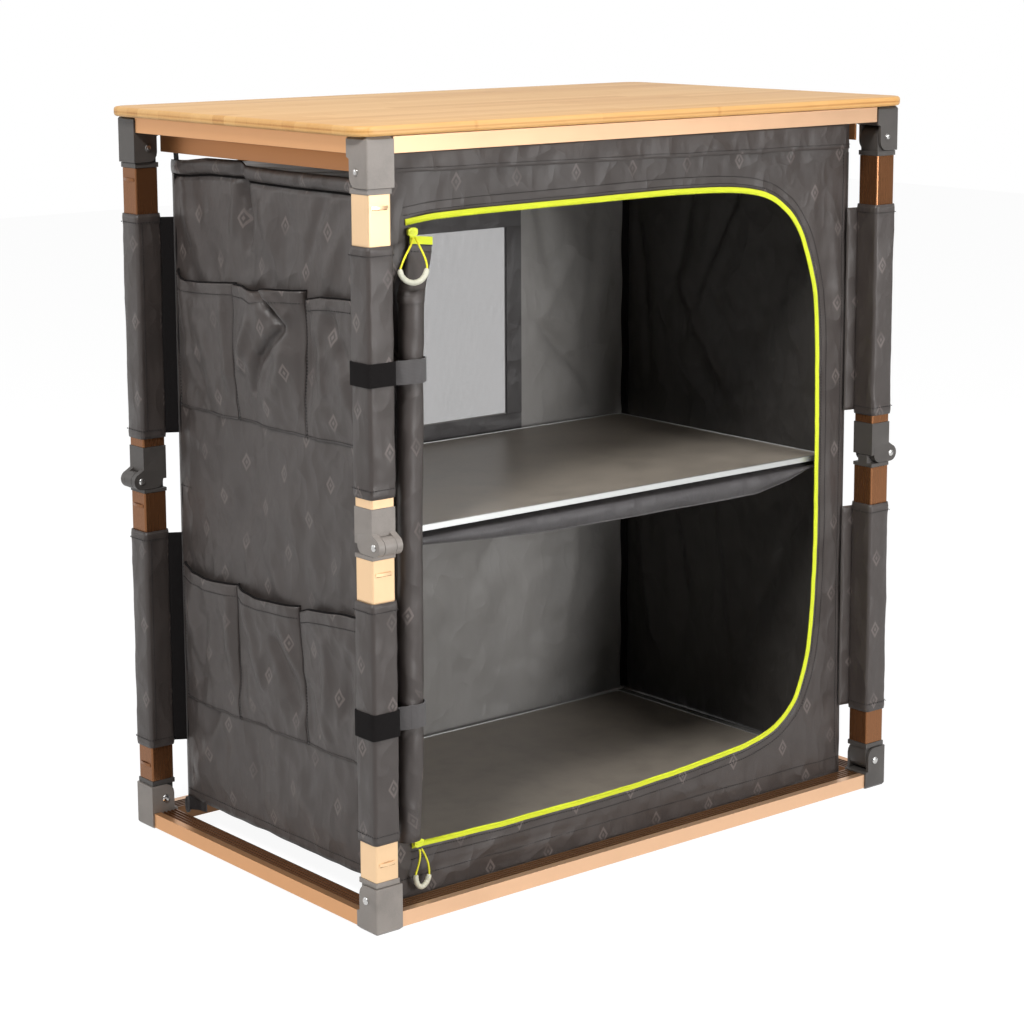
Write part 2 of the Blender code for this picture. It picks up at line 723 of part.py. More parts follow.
def build_zip(lime, grip_plastic):
    """The zip's end tab, its two sliders and the cord loop and grip on each."""
    tab_empty = joint_empty("zip_tab_lift", (0, 0, 0), (SLIDER_X, SLIDER_BACK, TOP_SLIDER_Z))
    tab = block((TAB_X[0], TAB_Y[0], TAB_Z[0]), (TAB_X[1], TAB_Y[1], TAB_Z[1]))
    add("zip_end_tab", moved(tab, Matrix.Translation(-tab_empty.location)), lime, tab_empty)
    slider = make_slider()
    centre_y = SLIDER_BACK - SLIDER_SIZE.y / 2
    for level, height, shape in (
        ("upper", TOP_SLIDER_Z, TOP_PULL),
        ("lower", LOW_SLIDER_Z, LOW_PULL),
    ):
        empty = joint_empty(f"{level}_slider_track", (0, 0, 0), (SLIDER_X, centre_y, height))
        add(f"{level}_zip_slider", slider, lime, empty)
        route = pull_route(height, shape)
        add_cord(f"{level}_pull_cord", route, empty.location, lime, empty)
        grip = moved(make_grip(route), Matrix.Translation(-empty.location))
        add(f"{level}_pull_grip", grip, grip_plastic, empty)


def main():
    """Builds the whole object."""
    clear_scene()
    bronze = finish("bronze_aluminium", (214, 168, 124), 0.32, 0.9)
    plastic = finish("grey_plastic", (128, 122, 118), 0.5)
    fabric = finish("dark_fabric", (78, 75, 76), 0.8)
    board = finish("shelf_panel", (137, 131, 122), 0.4, 0.2)
    bamboo = finish("bamboo", (226, 188, 130), 0.45)
    lime = finish("lime_zip", (215, 230, 30), 0.5)
    grip_plastic = finish("pale_grip", (190, 190, 170), 0.4)
    base_empty, top_empty = build_frame(bronze, plastic)
    build_legs(bronze, plastic, fabric)
    build_cabinet(base_empty, top_empty, fabric, board, bamboo)
    build_zip(lime, grip_plastic)
    bpy.context.view_layer.update()


main()
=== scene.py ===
"""Looks of the folding camp kitchen cupboard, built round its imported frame.

Metres, +Z up, +X to the right along the front, front towards -Y. The hard parts are softened copies of the
frame's own nodes, the fabric is modelled panel by panel, and small repeated things come from node trees.
"""

from __future__ import annotations

import logging
import math
from collections.abc import Callable, Iterator, Sequence
from contextlib import contextmanager
from dataclasses import dataclass
from enum import Enum
from functools import cache, partialmethod

import bmesh
import bpy
import numpy as np
from mathutils import Matrix, Vector, noise

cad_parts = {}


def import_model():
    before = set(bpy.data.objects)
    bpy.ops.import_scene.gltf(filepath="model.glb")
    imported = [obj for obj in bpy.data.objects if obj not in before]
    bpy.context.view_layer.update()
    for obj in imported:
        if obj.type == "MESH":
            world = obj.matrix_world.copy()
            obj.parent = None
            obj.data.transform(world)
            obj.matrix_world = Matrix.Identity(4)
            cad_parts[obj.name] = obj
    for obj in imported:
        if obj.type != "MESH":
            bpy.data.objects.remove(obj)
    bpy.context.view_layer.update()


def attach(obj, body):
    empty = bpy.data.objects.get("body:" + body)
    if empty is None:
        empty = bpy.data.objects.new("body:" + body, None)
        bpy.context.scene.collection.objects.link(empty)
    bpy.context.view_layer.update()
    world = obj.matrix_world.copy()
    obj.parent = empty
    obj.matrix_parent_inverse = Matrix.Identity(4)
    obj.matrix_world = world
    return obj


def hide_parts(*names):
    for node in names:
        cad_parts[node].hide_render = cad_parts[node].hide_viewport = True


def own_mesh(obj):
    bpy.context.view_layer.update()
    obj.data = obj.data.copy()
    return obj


LOG = logging.getLogger("camp_cupboard")
Thing = bpy.types.Object
Pair = tuple[float, float]
Place = tuple[float, float, float]
Colour = tuple[float, float, float]
Spot = tuple[Vector, Vector]
MM = 0.001
UP = Vector((0, 0, 1))
FORWARD = Vector((0, -1, 0))
SIDE_LEAN = 0.030
CLOTH_UV = "cloth"
STRAP_HEIGHTS = {"upper": 0.5312, "lower": 0.2030}


class Leg(Enum):
    """The four legs, with the corner each stands at and its quarter turn in degrees."""

    FRONT_LEFT = ("front_left", -1, -1, 0)
    BACK_LEFT = ("back_left", -1, 1, -90)
    BACK_RIGHT = ("back_right", 1, 1, 180)
    FRONT_RIGHT = ("front_right", 1, -1, 90)

    @property
    def label(self) -> str:
        """The leg's name in node and body names."""
        return self.value[0]


class Half(Enum):
    """The two halves of a leg."""

    LOWER = "lower"
    UPPER = "upper"


def srgb(*channels: int) -> Colour:
    """The linear colour of an 8-bit sRGB one."""
    shares = (value / 255 for value in channels)
    return tuple(s / 12.92 if s <= 0.04045 else ((s + 0.055) / 1.055) ** 2.4 for s in shares)


def toned(colour: Colour, scale: float, plus: float = 0.0) -> Colour:
    """A lighter or darker shade of a colour."""
    return tuple(min(1.0, c * scale + plus) for c in colour)


class Signal:
    """A node socket that takes part in Python arithmetic."""

    def __init__(self, nodes: "Nodes", socket: bpy.types.NodeSocket) -> None:
        """Wraps a socket of a tree."""
        self.nodes = nodes
        self.socket = socket

    def maths(self, operation: str, *others: "Signal | float") -> "Signal":
        """A Math node on this signal.

        Args:
            operation: The node's operation.
            others: Its further inputs.

        Returns:
            The node's result.
        """
        return self.nodes.node("ShaderNodeMath", {"operation": operation}, dict(enumerate((self, *others))))

    __add__ = __radd__ = partialmethod(maths, "ADD")
    __sub__ = partialmethod(maths, "SUBTRACT")
    __mul__ = __rmul__ = partialmethod(maths, "MULTIPLY")
    __truediv__ = partialmethod(maths, "DIVIDE")
    __abs__ = partialmethod(maths, "ABSOLUTE")
    wave = partialmethod(maths, "SINE")
    whole = partialmethod(maths, "FLOOR")
    part = partialmethod(maths, "FRACT")
    below = partialmethod(maths, "LESS_THAN")
    above = partialmethod(maths, "GREATER_THAN")
    most = partialmethod(maths, "MAXIMUM")

    def __rsub__(self, other: float) -> "Signal":
        """other - self."""
        return self.nodes.node("ShaderNodeMath", {"operation": "SUBTRACT"}, {0: other, 1: self})

    def eased(self, low: float, high: float) -> "Signal":
        """0 below low and 1 above high, smooth between."""
        settings = {"interpolation_type": "SMOOTHSTEP"}
        return self.nodes.node("ShaderNodeMapRange", settings, {0: self, 1: low, 2: high})


class Nodes:
    """A node tree under construction."""

    def __init__(self, tree: bpy.types.NodeTree) -> None:
        """Takes the tree."""
        self.tree = tree

    def node(self, kind: str, settings: dict | None = None, inputs: dict | None = None,
             output: int | str = 0) -> Signal:
        """A new node of the tree.

        Args:
            kind: The node's type.
            settings: Its properties.
            inputs: Values, sockets or signals by socket name or number.
            output: The output that is wanted.

        Returns:
            That output as a signal.
        """
        node = self.tree.nodes.new(kind)
        for key, value in (settings or {}).items():
            setattr(node, key, value)
        for key, value in (inputs or {}).items():
            self.feed(node.inputs[key], value)
        return Signal(self, node.outputs[output])

    def feed(self, socket: bpy.types.NodeSocket, value: object) -> None:
        """Sets a socket to a value, or links a signal or another socket to it."""
        value = getattr(value, "socket", value)
        if isinstance(value, bpy.types.NodeSocket):
            self.tree.links.new(value, socket)
        elif socket.type == "RGBA" and len(value) == 3:
            socket.default_value = (*value, 1.0)
        else:
            socket.default_value = value

    def vector(self, x: object, y: object, z: object = 0.0) -> Signal:
        """A vector of three signals, sockets or numbers."""
        return self.node("ShaderNodeCombineXYZ", None, {0: x, 1: y, 2: z})

    def ray(self, kind: str) -> Signal:
        """1 for light rays of a kind."""
        return self.node("ShaderNodeLightPath", output=f"Is {kind} Ray")


class Shader(Nodes):
    """A Principled material under construction."""

    def __init__(self, name: str) -> None:
        """Starts a material with its shader and output."""
        self.material = bpy.data.materials.new(name)
        self.material.use_nodes = True
        super().__init__(self.material.node_tree)
        self.surface = self.tree.nodes["Principled BSDF"]

    def set(self, **values: object) -> None:
        """Sets the shader's own sockets; a name's underscores stand for spaces."""
        for key, value in values.items():
            self.feed(self.surface.inputs[key.replace("_", " ")], value)

    def place(self, uv: bool = False) -> Signal:
        """The pattern's coordinates: the object's, or its cloth map in metres."""
        if uv:
            return self.node("ShaderNodeUVMap", {"uv_map": CLOTH_UV})
        return self.node("ShaderNodeTexCoord", output="Object")

    def scaled(self, vector: Signal, x: float, y: float, z: float) -> Signal:
        """A vector with each part multiplied by its own number."""
        return self.node("ShaderNodeVectorMath", {"operation": "MULTIPLY"}, {0: vector, 1: (x, y, z)})

    def parts(self, vector: Signal) -> tuple[Signal, Signal, Signal]:
        """A vector's x, y and z."""
        first = self.node("ShaderNodeSeparateXYZ", None, {0: vector})
        return tuple(Signal(self, socket) for socket in first.socket.node.outputs)

    def noise(self, vector: Signal, scale: float, detail: float = 3.0, roughness: float = 0.5) -> Signal:
        """A noise from 0 to 1 along a vector."""
        inputs = {"Vector": vector, "Scale": scale, "Detail": detail, "Roughness": roughness}
        return self.node("ShaderNodeTexNoise", None, inputs)

    def random(self, *parts: Signal | float) -> Signal:
        """A random number from 0 to 1 for each value of a vector."""
        return self.node("ShaderNodeTexWhiteNoise", {"noise_dimensions": "3D"}, {"Vector": self.vector(*parts)})

    def mix(self, share: Signal | float, first: Signal | Colour, second: Signal | Colour) -> Signal:
        """A colour between two."""
        settings = {"data_type": "RGBA"}
        return self.node("ShaderNodeMix", settings, {0: share, 6: first, 7: second}, output=2)

    def ramp(self, share: Signal, *stops: tuple[float, Colour]) -> Signal:
        """A colour ramp through stops, each a place and a colour."""
        result = self.node("ShaderNodeValToRGB", None, {0: share})
        elements = result.socket.node.color_ramp.elements
        while len(elements) < len(stops):
            elements.new(0.5)
        for element, (place, colour) in zip(elements, stops):
            element.position = place
            element.color = (*colour, 1.0)
        return result

    def shades(self, share: Signal, places: Place, colour: Colour, dark: float, pale: float,
               plus: float = 0.0) -> Signal:
        """A ramp from a darker shade of a colour through the colour to a paler shade.

        Args:
            share: The ramp's input.
            places: Where the three shades stand in it.
            colour: The colour.
            dark: What the darker shade multiplies it by.
            pale: What the paler shade multiplies it by.
            plus: What the paler shade adds.

        Returns:
            The colour.
        """
        return self.ramp(share, *zip(places, (toned(colour, dark), colour, toned(colour, pale, plus))))

    def bump(self, height: Signal, distance: float, strength: float = 1.0) -> None:
        """Feeds the shader's normal from a height."""
        inputs = {"Height": height, "Distance": distance, "Strength": strength}
        self.set(Normal=self.node("ShaderNodeBump", None, inputs))


class Finish:
    """A surface finish that is made once and shared."""

    made: dict[str, bpy.types.Material] = {}

    def material(self) -> bpy.types.Material:
        """The finish as a material, made at the first call."""
        if self.name not in Finish.made:
            shader = Shader(self.name)
            self.paint(shader)
            Finish.made[self.name] = shader.material
        return Finish.made[self.name]

    def paint(self, shader: Shader) -> None:
        """Builds the finish's nodes."""
        raise NotImplementedError


def placed(name: str, data: bpy.types.ID) -> Thing:
    """A new object in the scene."""
    thing = bpy.data.objects.new(name, data)
    bpy.context.scene.collection.objects.link(thing)
    return thing


@contextmanager
def reshaped(mesh: bpy.types.Mesh, source: bpy.types.Mesh | None = None) -> Iterator[bmesh.types.BMesh]:
    """Opens a mesh, or a source in its place, for editing, and writes the mesh at the end."""
    shape = bmesh.new()
    shape.from_mesh(source or mesh)
    yield shape
    shape.to_mesh(mesh)
    shape.free()


class Sewing:
    """Points, faces and a cloth map in metres, gathered into one mesh."""

    def __init__(self) -> None:
        """Starts empty."""
        self.points: list[Place] = []
        self.faces: list[tuple[int, ...]] = []
        self.maps: list[Pair] = []

    def grid(self, rows: Sequence[Sequence[Place]], maps: Sequence[Sequence[Pair]] | None = None,
             closed: bool = False, flip: bool = False) -> "Sewing":
        """Adds a surface through rows of points.

        Args:
            rows: Rows with the same number of points.
            maps: The cloth map's place for each point.
            closed: Whether each row's last point joins its first.
            flip: Whether the faces turn the other way.

        Returns:
            The sewing itself.
        """
        start = len(self.points)
        wide = len(rows[0])
        for r, row in enumerate(rows):
            self.points += [tuple(point) for point in row]
            self.maps += maps[r] if maps else [(c * 0.002, r * 0.002) for c in range(wide)]
        for r in range(start, start + (len(rows) - 1) * wide, wide):
            for c in range(wide if closed else wide - 1):
                right = (c + 1) % wide
                face = (r + c, r + right, r + wide + right, r + wide + c)
                self.faces.append(face[::-1] if flip else face)
        return self

    def cap(self, ring: Sequence[Place], flip: bool = False) -> "Sewing":
        """Closes a ring of points with a fan about its middle."""
        start = len(self.points)
        middle = tuple(sum(p[i] for p in ring) / len(ring) for i in range(3))
        for point in (*ring, middle):
            self.points.append(tuple(point))
            self.maps.append((point[0] + point[1], point[2]))
        for i in range(len(ring)):
            face = (start + i, start + (i + 1) % len(ring), start + len(ring))
            self.faces.append(face[::-1] if flip else face)
        return self

    def make(self, name: str, *finishes: Finish, smooth: float = 40.0) -> Thing:
        """The gathered mesh as an object.

        Args:
            name: The piece's name.
            finishes: Its materials, by slot.
            smooth: The angle in degrees from which an edge stays sharp.

        Returns:
            The object.
        """
        mesh = bpy.data.meshes.new(name)
        mesh.from_pydata(self.points, [], self.faces)
        layer = mesh.uv_layers.new(name=CLOTH_UV)
        for loop in mesh.loops:
            layer.data[loop.index].uv = self.maps[loop.vertex_index]
        with reshaped(mesh) as shape:
            bmesh.ops.remove_doubles(shape, verts=shape.verts, dist=1e-6)
        return settled(mesh, name, finishes, smooth)


def settled(mesh: bpy.types.Mesh, name: str, finishes: Sequence[Finish], smooth: float) -> Thing:
    """Puts a mesh in the scene with its finishes and smooth shading."""
    for finish in finishes:
        mesh.materials.append(finish.material())
    mesh.shade_smooth()
    mesh.set_sharp_from_angle(angle=math.radians(smooth))
    return placed(name, mesh)


def outcome(thing: Thing) -> bpy.types.Mesh:
    """The mesh that an object's modifiers make."""
    bpy.context.view_layer.update()
    return bpy.data.meshes.new_from_object(thing.evaluated_get(bpy.context.evaluated_depsgraph_get()))


def modified(thing: Thing, kind: str, **settings: object) -> Thing:
    """Runs a modifier on an object and keeps its result as the object's mesh.

    Args:
        thing: The object.
        kind: The modifier's type.
        settings: Its properties.

    Returns:
        The same object.
    """
    step = thing.modifiers.new("step", kind)
    for key, value in settings.items():
        setattr(step, key, value)
    result = outcome(thing)
    thing.modifiers.clear()
    old = thing.data
    thing.data = result
    result.name = thing.name
    bpy.data.meshes.remove(old)
    return thing


def thickened(thing: Thing, thickness: float, offset: float = -1.0, lining: int = 0) -> Thing:
    """Gives a cloth surface its thickness, and the slot of its lining."""
    return modified(thing, "SOLIDIFY", thickness=thickness, offset=offset, use_quality_normals=True,
                    material_offset=lining)


def bevelled(thing: Thing, width: float, angle: float, segments: int = 2, **settings: bool) -> Thing:
    """Rounds the edges that are sharper than an angle in degrees."""
    return modified(thing, "BEVEL", width=width, segments=segments, limit_method="ANGLE",
                    angle_limit=math.radians(angle), **settings)


def outward(thing: Thing) -> Thing:
    """Turns a closed mesh's faces outwards."""
    with reshaped(thing.data) as shape:
        bmesh.ops.recalc_face_normals(shape, faces=shape.faces)
    return thing


def face_away(thing: Thing, middle: Vector) -> None:
    """Turns each face so that it points away from a vertical line through a point."""
    with reshaped(thing.data) as shape:
        for face in shape.faces:
            away = face.calc_center_median() - middle
            away.z = 0
            if face.normal.dot(away) < 0:
                face.normal_flip()


def opened(thing: Thing, inside: Callable[[Vector], bool]) -> None:
    """Cuts away the faces whose middles are inside, and closes the cloth's edge there."""
    with reshaped(thing.data) as shape:
        gone = [face for face in shape.faces if inside(face.calc_center_median())]
        bmesh.ops.delete(shape, geom=gone, context="FACES")
        edges = [edge for edge in shape.edges if edge.is_boundary]
        if edges:
            bmesh.ops.bridge_loops(shape, edges=edges)


def joined(name: str, things: Sequence[Thing]) -> Thing:
    """Makes one object of several, with their materials."""
    shape = bmesh.new()
    materials: list[bpy.types.Material] = []
    for thing in things:
        first = len(shape.faces)
        shape.from_mesh(thing.data)
        shape.faces.ensure_lookup_table()
        numbers = []
        for material in thing.data.materials:
            if material not in materials:
                materials.append(material)
            numbers.append(materials.index(material))
        for face in shape.faces[first:]:
            face.material_index = numbers[min(face.material_index, len(numbers) - 1)]
    mesh = bpy.data.meshes.new(name)
    shape.to_mesh(mesh)
    shape.free()
    for material in materials:
        mesh.materials.append(material)
    for thing in things:
        bpy.data.objects.remove(thing)
    return placed(name, mesh)


def softened(node: str, name: str, finish: Finish, width: float, segments: int = 2) -> Thing:
    """A copy of a CAD node with merged points and bevelled edges, in the node's place.

    Args:
        node: The CAD node.
        name: The piece's name.
        finish: Its finish.
        width: The bevel's width.
        segments: The bevel's segments.

    Returns:
        The piece, which replaces the node and has yet to ride.
    """
    mesh = bpy.data.meshes.new(name)
    with reshaped(mesh, bpy.data.objects[node].data) as shape:
        bmesh.ops.remove_doubles(shape, verts=shape.verts, dist=2e-6)
        bmesh.ops.dissolve_limit(shape, angle_limit=math.radians(0.6), verts=shape.verts, edges=shape.edges)
    piece = settled(mesh, name, [finish], 35)
    bevelled(piece, width, 35, segments, harden_normals=True, use_clamp_overlap=True)
    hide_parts(node)
    return piece


def lofted(name: str, rings: Sequence[Sequence[Vector]], finish: Finish,
           maps: Sequence[Sequence[Pair]] | None = None, smooth: float = 40.0) -> Thing:
    """A closed tube through rings of points, with a cap at each end."""
    tube = Sewing().grid(rings, maps, closed=True).cap(rings[0], flip=True).cap(rings[-1])
    return outward(tube.make(name, finish, smooth=smooth))


def bar(name: str, line: Sequence[Vector], thick: float, wide: float, finish: Finish,
        across: Place = (0, 0, 1)) -> Thing:
    """A flat bar or strap along a line.

    Args:
        name: The piece's name.
        line: The points of its middle.
        thick: Its thickness.
        wide: Its width.
        finish: Its finish.
        across: The direction of its width.

    Returns:
        The closed bar.
    """
    side = Vector(across).normalized()
    rings = []
    for i, point in enumerate(line):
        out = heading(line, i).cross(side).normalized()
        corners = ((-1, -1), (1, -1), (1, 1), (-1, 1))
        rings.append([point + side * (a * wide / 2) + out * (b * thick / 2) for a, b in corners])
    maps = [[(a * wide / 2, run) for a in (-1, 1, 1, -1)] for run in runs(line)]
    return lofted(name, rings, finish, maps)


def heading(line: Sequence[Vector], i: int) -> Vector:
    """The direction of a line at one of its points."""
    return line[min(i + 1, len(line) - 1)] - line[max(i - 1, 0)]


def runs(line: Sequence[Vector]) -> list[float]:
    """How far along a line each of its points is."""
    found = [0.0]
    for a, b in zip(line, line[1:]):
        found.append(found[-1] + (b - a).length)
    return found


def smoothed(line: Sequence[Vector], first: Vector, last: Vector, count: int) -> list[Vector]:
    """A smooth curve through a line's points, with a number of steps from each to the next.

    Args:
        line: The points.
        first: A point that stands before them.
        last: A point that stands after them.
        count: The steps.

    Returns:
        The curve's points.
    """
    spread = [first, *line, last]
    fine = []
    for before, start, end, after in zip(spread, spread[1:], spread[2:], spread[3:]):
        for t in (step / count for step in range(count)):
            curve = 2 * start + (end - before) * t + (2 * before - 5 * start + 4 * end - after) * t * t
            fine.append((curve + (3 * start - before - 3 * end + after) * t * t * t) / 2)
    return [*fine, line[-1]]


def noisy(x: float, y: float, z: float) -> float:
    """A smooth noise from about -1 to 1."""
    return noise.noise(Vector((x, y, z)))


def bell(distance: float, width: float) -> float:
    """1 at no distance, falling away smoothly over a width."""
    return math.exp(-(distance / width) ** 2)


class Grower(Nodes):
    """A geometry node tree that sets something small along lines or at points."""

    def __init__(self, name: str, **sizes: float) -> None:
        """Starts a tree with a named input for each size."""
        super().__init__(bpy.data.node_groups.new(name, "GeometryNodeTree"))
        interface = self.tree.interface
        for way in ("INPUT", "OUTPUT"):
            interface.new_socket("Geometry", in_out=way, socket_type="NodeSocketGeometry")
        for label, size in sizes.items():
            interface.new_socket(label, in_out="INPUT", socket_type="NodeSocketFloat").default_value = size
        interface.new_socket("finish", in_out="INPUT", socket_type="NodeSocketMaterial")
        self.inputs = self.tree.nodes.new("NodeGroupInput").outputs

    def aim(self) -> Signal:
        """The direction that the carrier's points hold."""
        return self.node("GeometryNodeInputNamedAttribute", {"data_type": "FLOAT_VECTOR"}, {"Name": "aim"})

    def bead(self, segments: int, rings: int, radius: float, *sizes: str) -> Signal:
        """A ball, stretched along its axes by three of the tree's inputs."""
        ball = self.node("GeometryNodeMeshUVSphere", None, {"Segments": segments, "Rings": rings, "Radius": radius})
        scale = self.vector(*(self.inputs[size] for size in sizes))
        return self.node("GeometryNodeTransform", None, {"Geometry": ball, "Scale": scale})

    def along_lines(self, bead: Signal) -> "Grower":
        """Ends the tree with beads a pitch apart along the carrier's lines."""
        curve = self.node("GeometryNodeMeshToCurve", None, {0: self.inputs["Geometry"]})
        spread = {"Curve": curve, "Length": self.inputs["pitch"]}
        axes = {"Primary Axis": self.node("GeometryNodeInputTangent"), "Secondary Axis": self.aim()}
        turn = self.node("FunctionNodeAxesToRotation", {"primary_axis": "X", "secondary_axis": "Z"}, axes)
        return self.close(self.node("GeometryNodeResampleCurve", {"mode": "LENGTH"}, spread), bead, turn)

    def at_points(self, bead: Signal) -> "Grower":
        """Ends the tree with a bead on each of the carrier's points, facing where the point aims."""
        points = self.node("GeometryNodeMeshToPoints", None, {"Mesh": self.inputs["Geometry"]})
        turn = self.node("FunctionNodeAlignRotationToVector", {"axis": "Z"}, {"Vector": self.aim()})
        return self.close(points, bead, turn)

    def close(self, points: Signal, bead: Signal, turn: Signal) -> "Grower":
        """Ends the tree: instances on the points, made real, with the finish."""
        spread = {"Points": points, "Instance": bead, "Rotation": turn}
        real = self.node("GeometryNodeRealizeInstances", None,
                         {0: self.node("GeometryNodeInstanceOnPoints", None, spread)})
        dressed = self.node("GeometryNodeSetMaterial", None, {"Geometry": real, "Material": self.inputs["finish"]})
        self.feed(self.tree.nodes.new("NodeGroupOutput").inputs[0], dressed)
        return self

    def grow(self, name: str, lines: Sequence[Sequence[Spot]], finish: Finish, **sizes: float) -> Thing:
        """Runs the tree on a carrier made of lines.

        Args:
            name: The piece's name.
            lines: Each line's points, as place and direction.
            finish: The finish of what grows.
            sizes: Values for the named inputs.

        Returns:
            What grew, as a plain mesh object.
        """
        spots = [spot for line in lines for spot in line]
        ends = np.cumsum([len(line) for line in lines])
        edges = [(i, i + 1) for i in range(len(spots) - 1) if i + 1 not in ends]
        mesh = bpy.data.meshes.new(name)
        mesh.from_pydata([place for place, _ in spots], edges, [])
        aim = mesh.attributes.new("aim", "FLOAT_VECTOR", "POINT")
        for slot, (_, direction) in zip(aim.data, spots):
            slot.vector = direction
        carrier = placed(name, mesh)
        step = carrier.modifiers.new("grow", "NODES")
        step.node_group = self.tree
        values = {"finish": finish.material(), **sizes}
        for item in self.tree.interface.items_tree:
            if item.in_out == "INPUT" and item.name in values:
                step[item.identifier] = values[item.name]
        result = outcome(carrier)
        bpy.data.objects.remove(carrier)
        result.name = name
        if "aim" in result.attributes:
            result.attributes.remove(result.attributes["aim"])
        return settled(result, name, [] if result.materials else [finish], 50.0)


@cache
def stitch_tree() -> Grower:
    """The tree that lays stitches along lines: short rounded threads, a pitch apart."""
    tree = Grower("stitches", pitch=3.2 * MM, length=2.2 * MM, width=1.0 * MM)
    return tree.along_lines(tree.bead(6, 4, 0.5, "length", "width", "width"))


def stitched(name: str, lines: Sequence[Sequence[Spot]]) -> Thing:
    """Stitches in dark thread along lines."""
    return stitch_tree().grow(f"{name}_stitches", lines, SEAM)


def teeth_tree() -> Grower:
    """The tree that sets a zip's teeth across a line: small beads, a pitch apart."""
    tree = Grower("zip_teeth", pitch=1.7 * MM, length=1.2 * MM, width=2.6 * MM, height=1.5 * MM)
    return tree.along_lines(tree.bead(8, 4, 0.5, "length", "width", "height"))


def rivet_tree() -> Grower:
    """The tree that sets a domed rivet head on each point."""
    tree = Grower("rivets", radius=4.0 * MM, height=1.6 * MM)
    return tree.at_points(tree.bead(20, 10, 1.0, "radius", "radius", "height"))


@dataclass(frozen=True)
class Camera:
    """The camera that matches the photograph's view."""

    focal: float = 2577.94
    picture: float = 1024.0
    sensor: float = 36.0
    raised: float = 122.0
    azimuth: float = -39.5002
    pitch: float = 9.6426
    roll: float = -0.2261
    distance: float = 2.72
    target: Place = (-0.0073, 0.0, 0.4556)

    def build(self) -> None:
        """Makes the scene's camera."""
        turn, tilt, roll = (math.radians(angle) for angle in (self.azimuth, self.pitch, self.roll))
        back = Vector((math.sin(turn) * math.cos(tilt), -math.cos(turn) * math.cos(tilt), math.sin(tilt)))
        right = (-back).cross(UP).normalized()
        up = right.cross(-back)
        right, up = right * math.cos(roll) + up * math.sin(roll), up * math.cos(roll) - right * math.sin(roll)
        lens = bpy.data.cameras.new("camera")
        lens.sensor_width = self.sensor
        lens.lens = self.focal * self.sensor / self.picture
        lens.shift_y = -self.raised / self.picture
        lens.clip_start = 0.05
        camera = placed("camera", lens)
        turned = Matrix((right, up, back)).transposed().to_4x4()
        camera.matrix_world = Matrix.Translation(Vector(self.target) + back * self.distance) @ turned
        bpy.context.scene.camera = camera


@dataclass(frozen=True)
class White(Finish):
    """The studio's floor: white where the camera or a gloss sees it, and it keeps the shadow."""

    name: str = "studio_white"
    colour: Colour = (0.80, 0.80, 0.80)
    seen: Colour = (0.16, 0.16, 0.16)
    glow: Colour = (0.93, 0.93, 0.93)

    def paint(self, shader: Shader) -> None:
        """A pale surface that the camera sees a little brighter than it is lit."""
        share = shader.ray("Camera").most(shader.ray("Glossy")).most(shader.ray("Transmission"))
        shader.set(Base_Color=shader.mix(share, self.colour, self.seen), Roughness=0.9, Specular_IOR_Level=0.0)
        shader.set(Emission_Color=shader.mix(share, (0.0, 0.0, 0.0), self.glow), Emission_Strength=1.0)


@dataclass(frozen=True)
class Shade(Finish):
    """The studio's cards: dark to the light and to a gloss, white like the backdrop where the camera sees them."""

    name: str = "studio_shade"
    dark: Colour = (0.008, 0.008, 0.008)

    def paint(self, shader: Shader) -> None:
        """A dark surface that only the camera sees white."""
        glow = shader.mix(shader.ray("Camera"), (0.0, 0.0, 0.0), (1.0, 1.0, 1.0))
        shader.set(Base_Color=self.dark, Roughness=0.9, Specular_IOR_Level=0.0)
        shader.set(Emission_Color=glow, Emission_Strength=1.0)


@dataclass(frozen=True)
class Lamp:
    """A round lamp that is aimed at the cupboard."""

    place: Place
    size: float
    power: float
    target: Place = (0.0, 0.0, 0.38)

    def build(self, name: str) -> None:
        """Makes the lamp."""
        light = bpy.data.lights.new(name, "AREA")
        light.shape = "DISK"
        light.size = self.size
        light.energy = self.power
        aim = Vector(self.target) - Vector(self.place)
        placed(name, light).matrix_world = (
            Matrix.Translation(self.place) @ aim.to_track_quat("-Z", "Y").to_matrix().to_4x4())


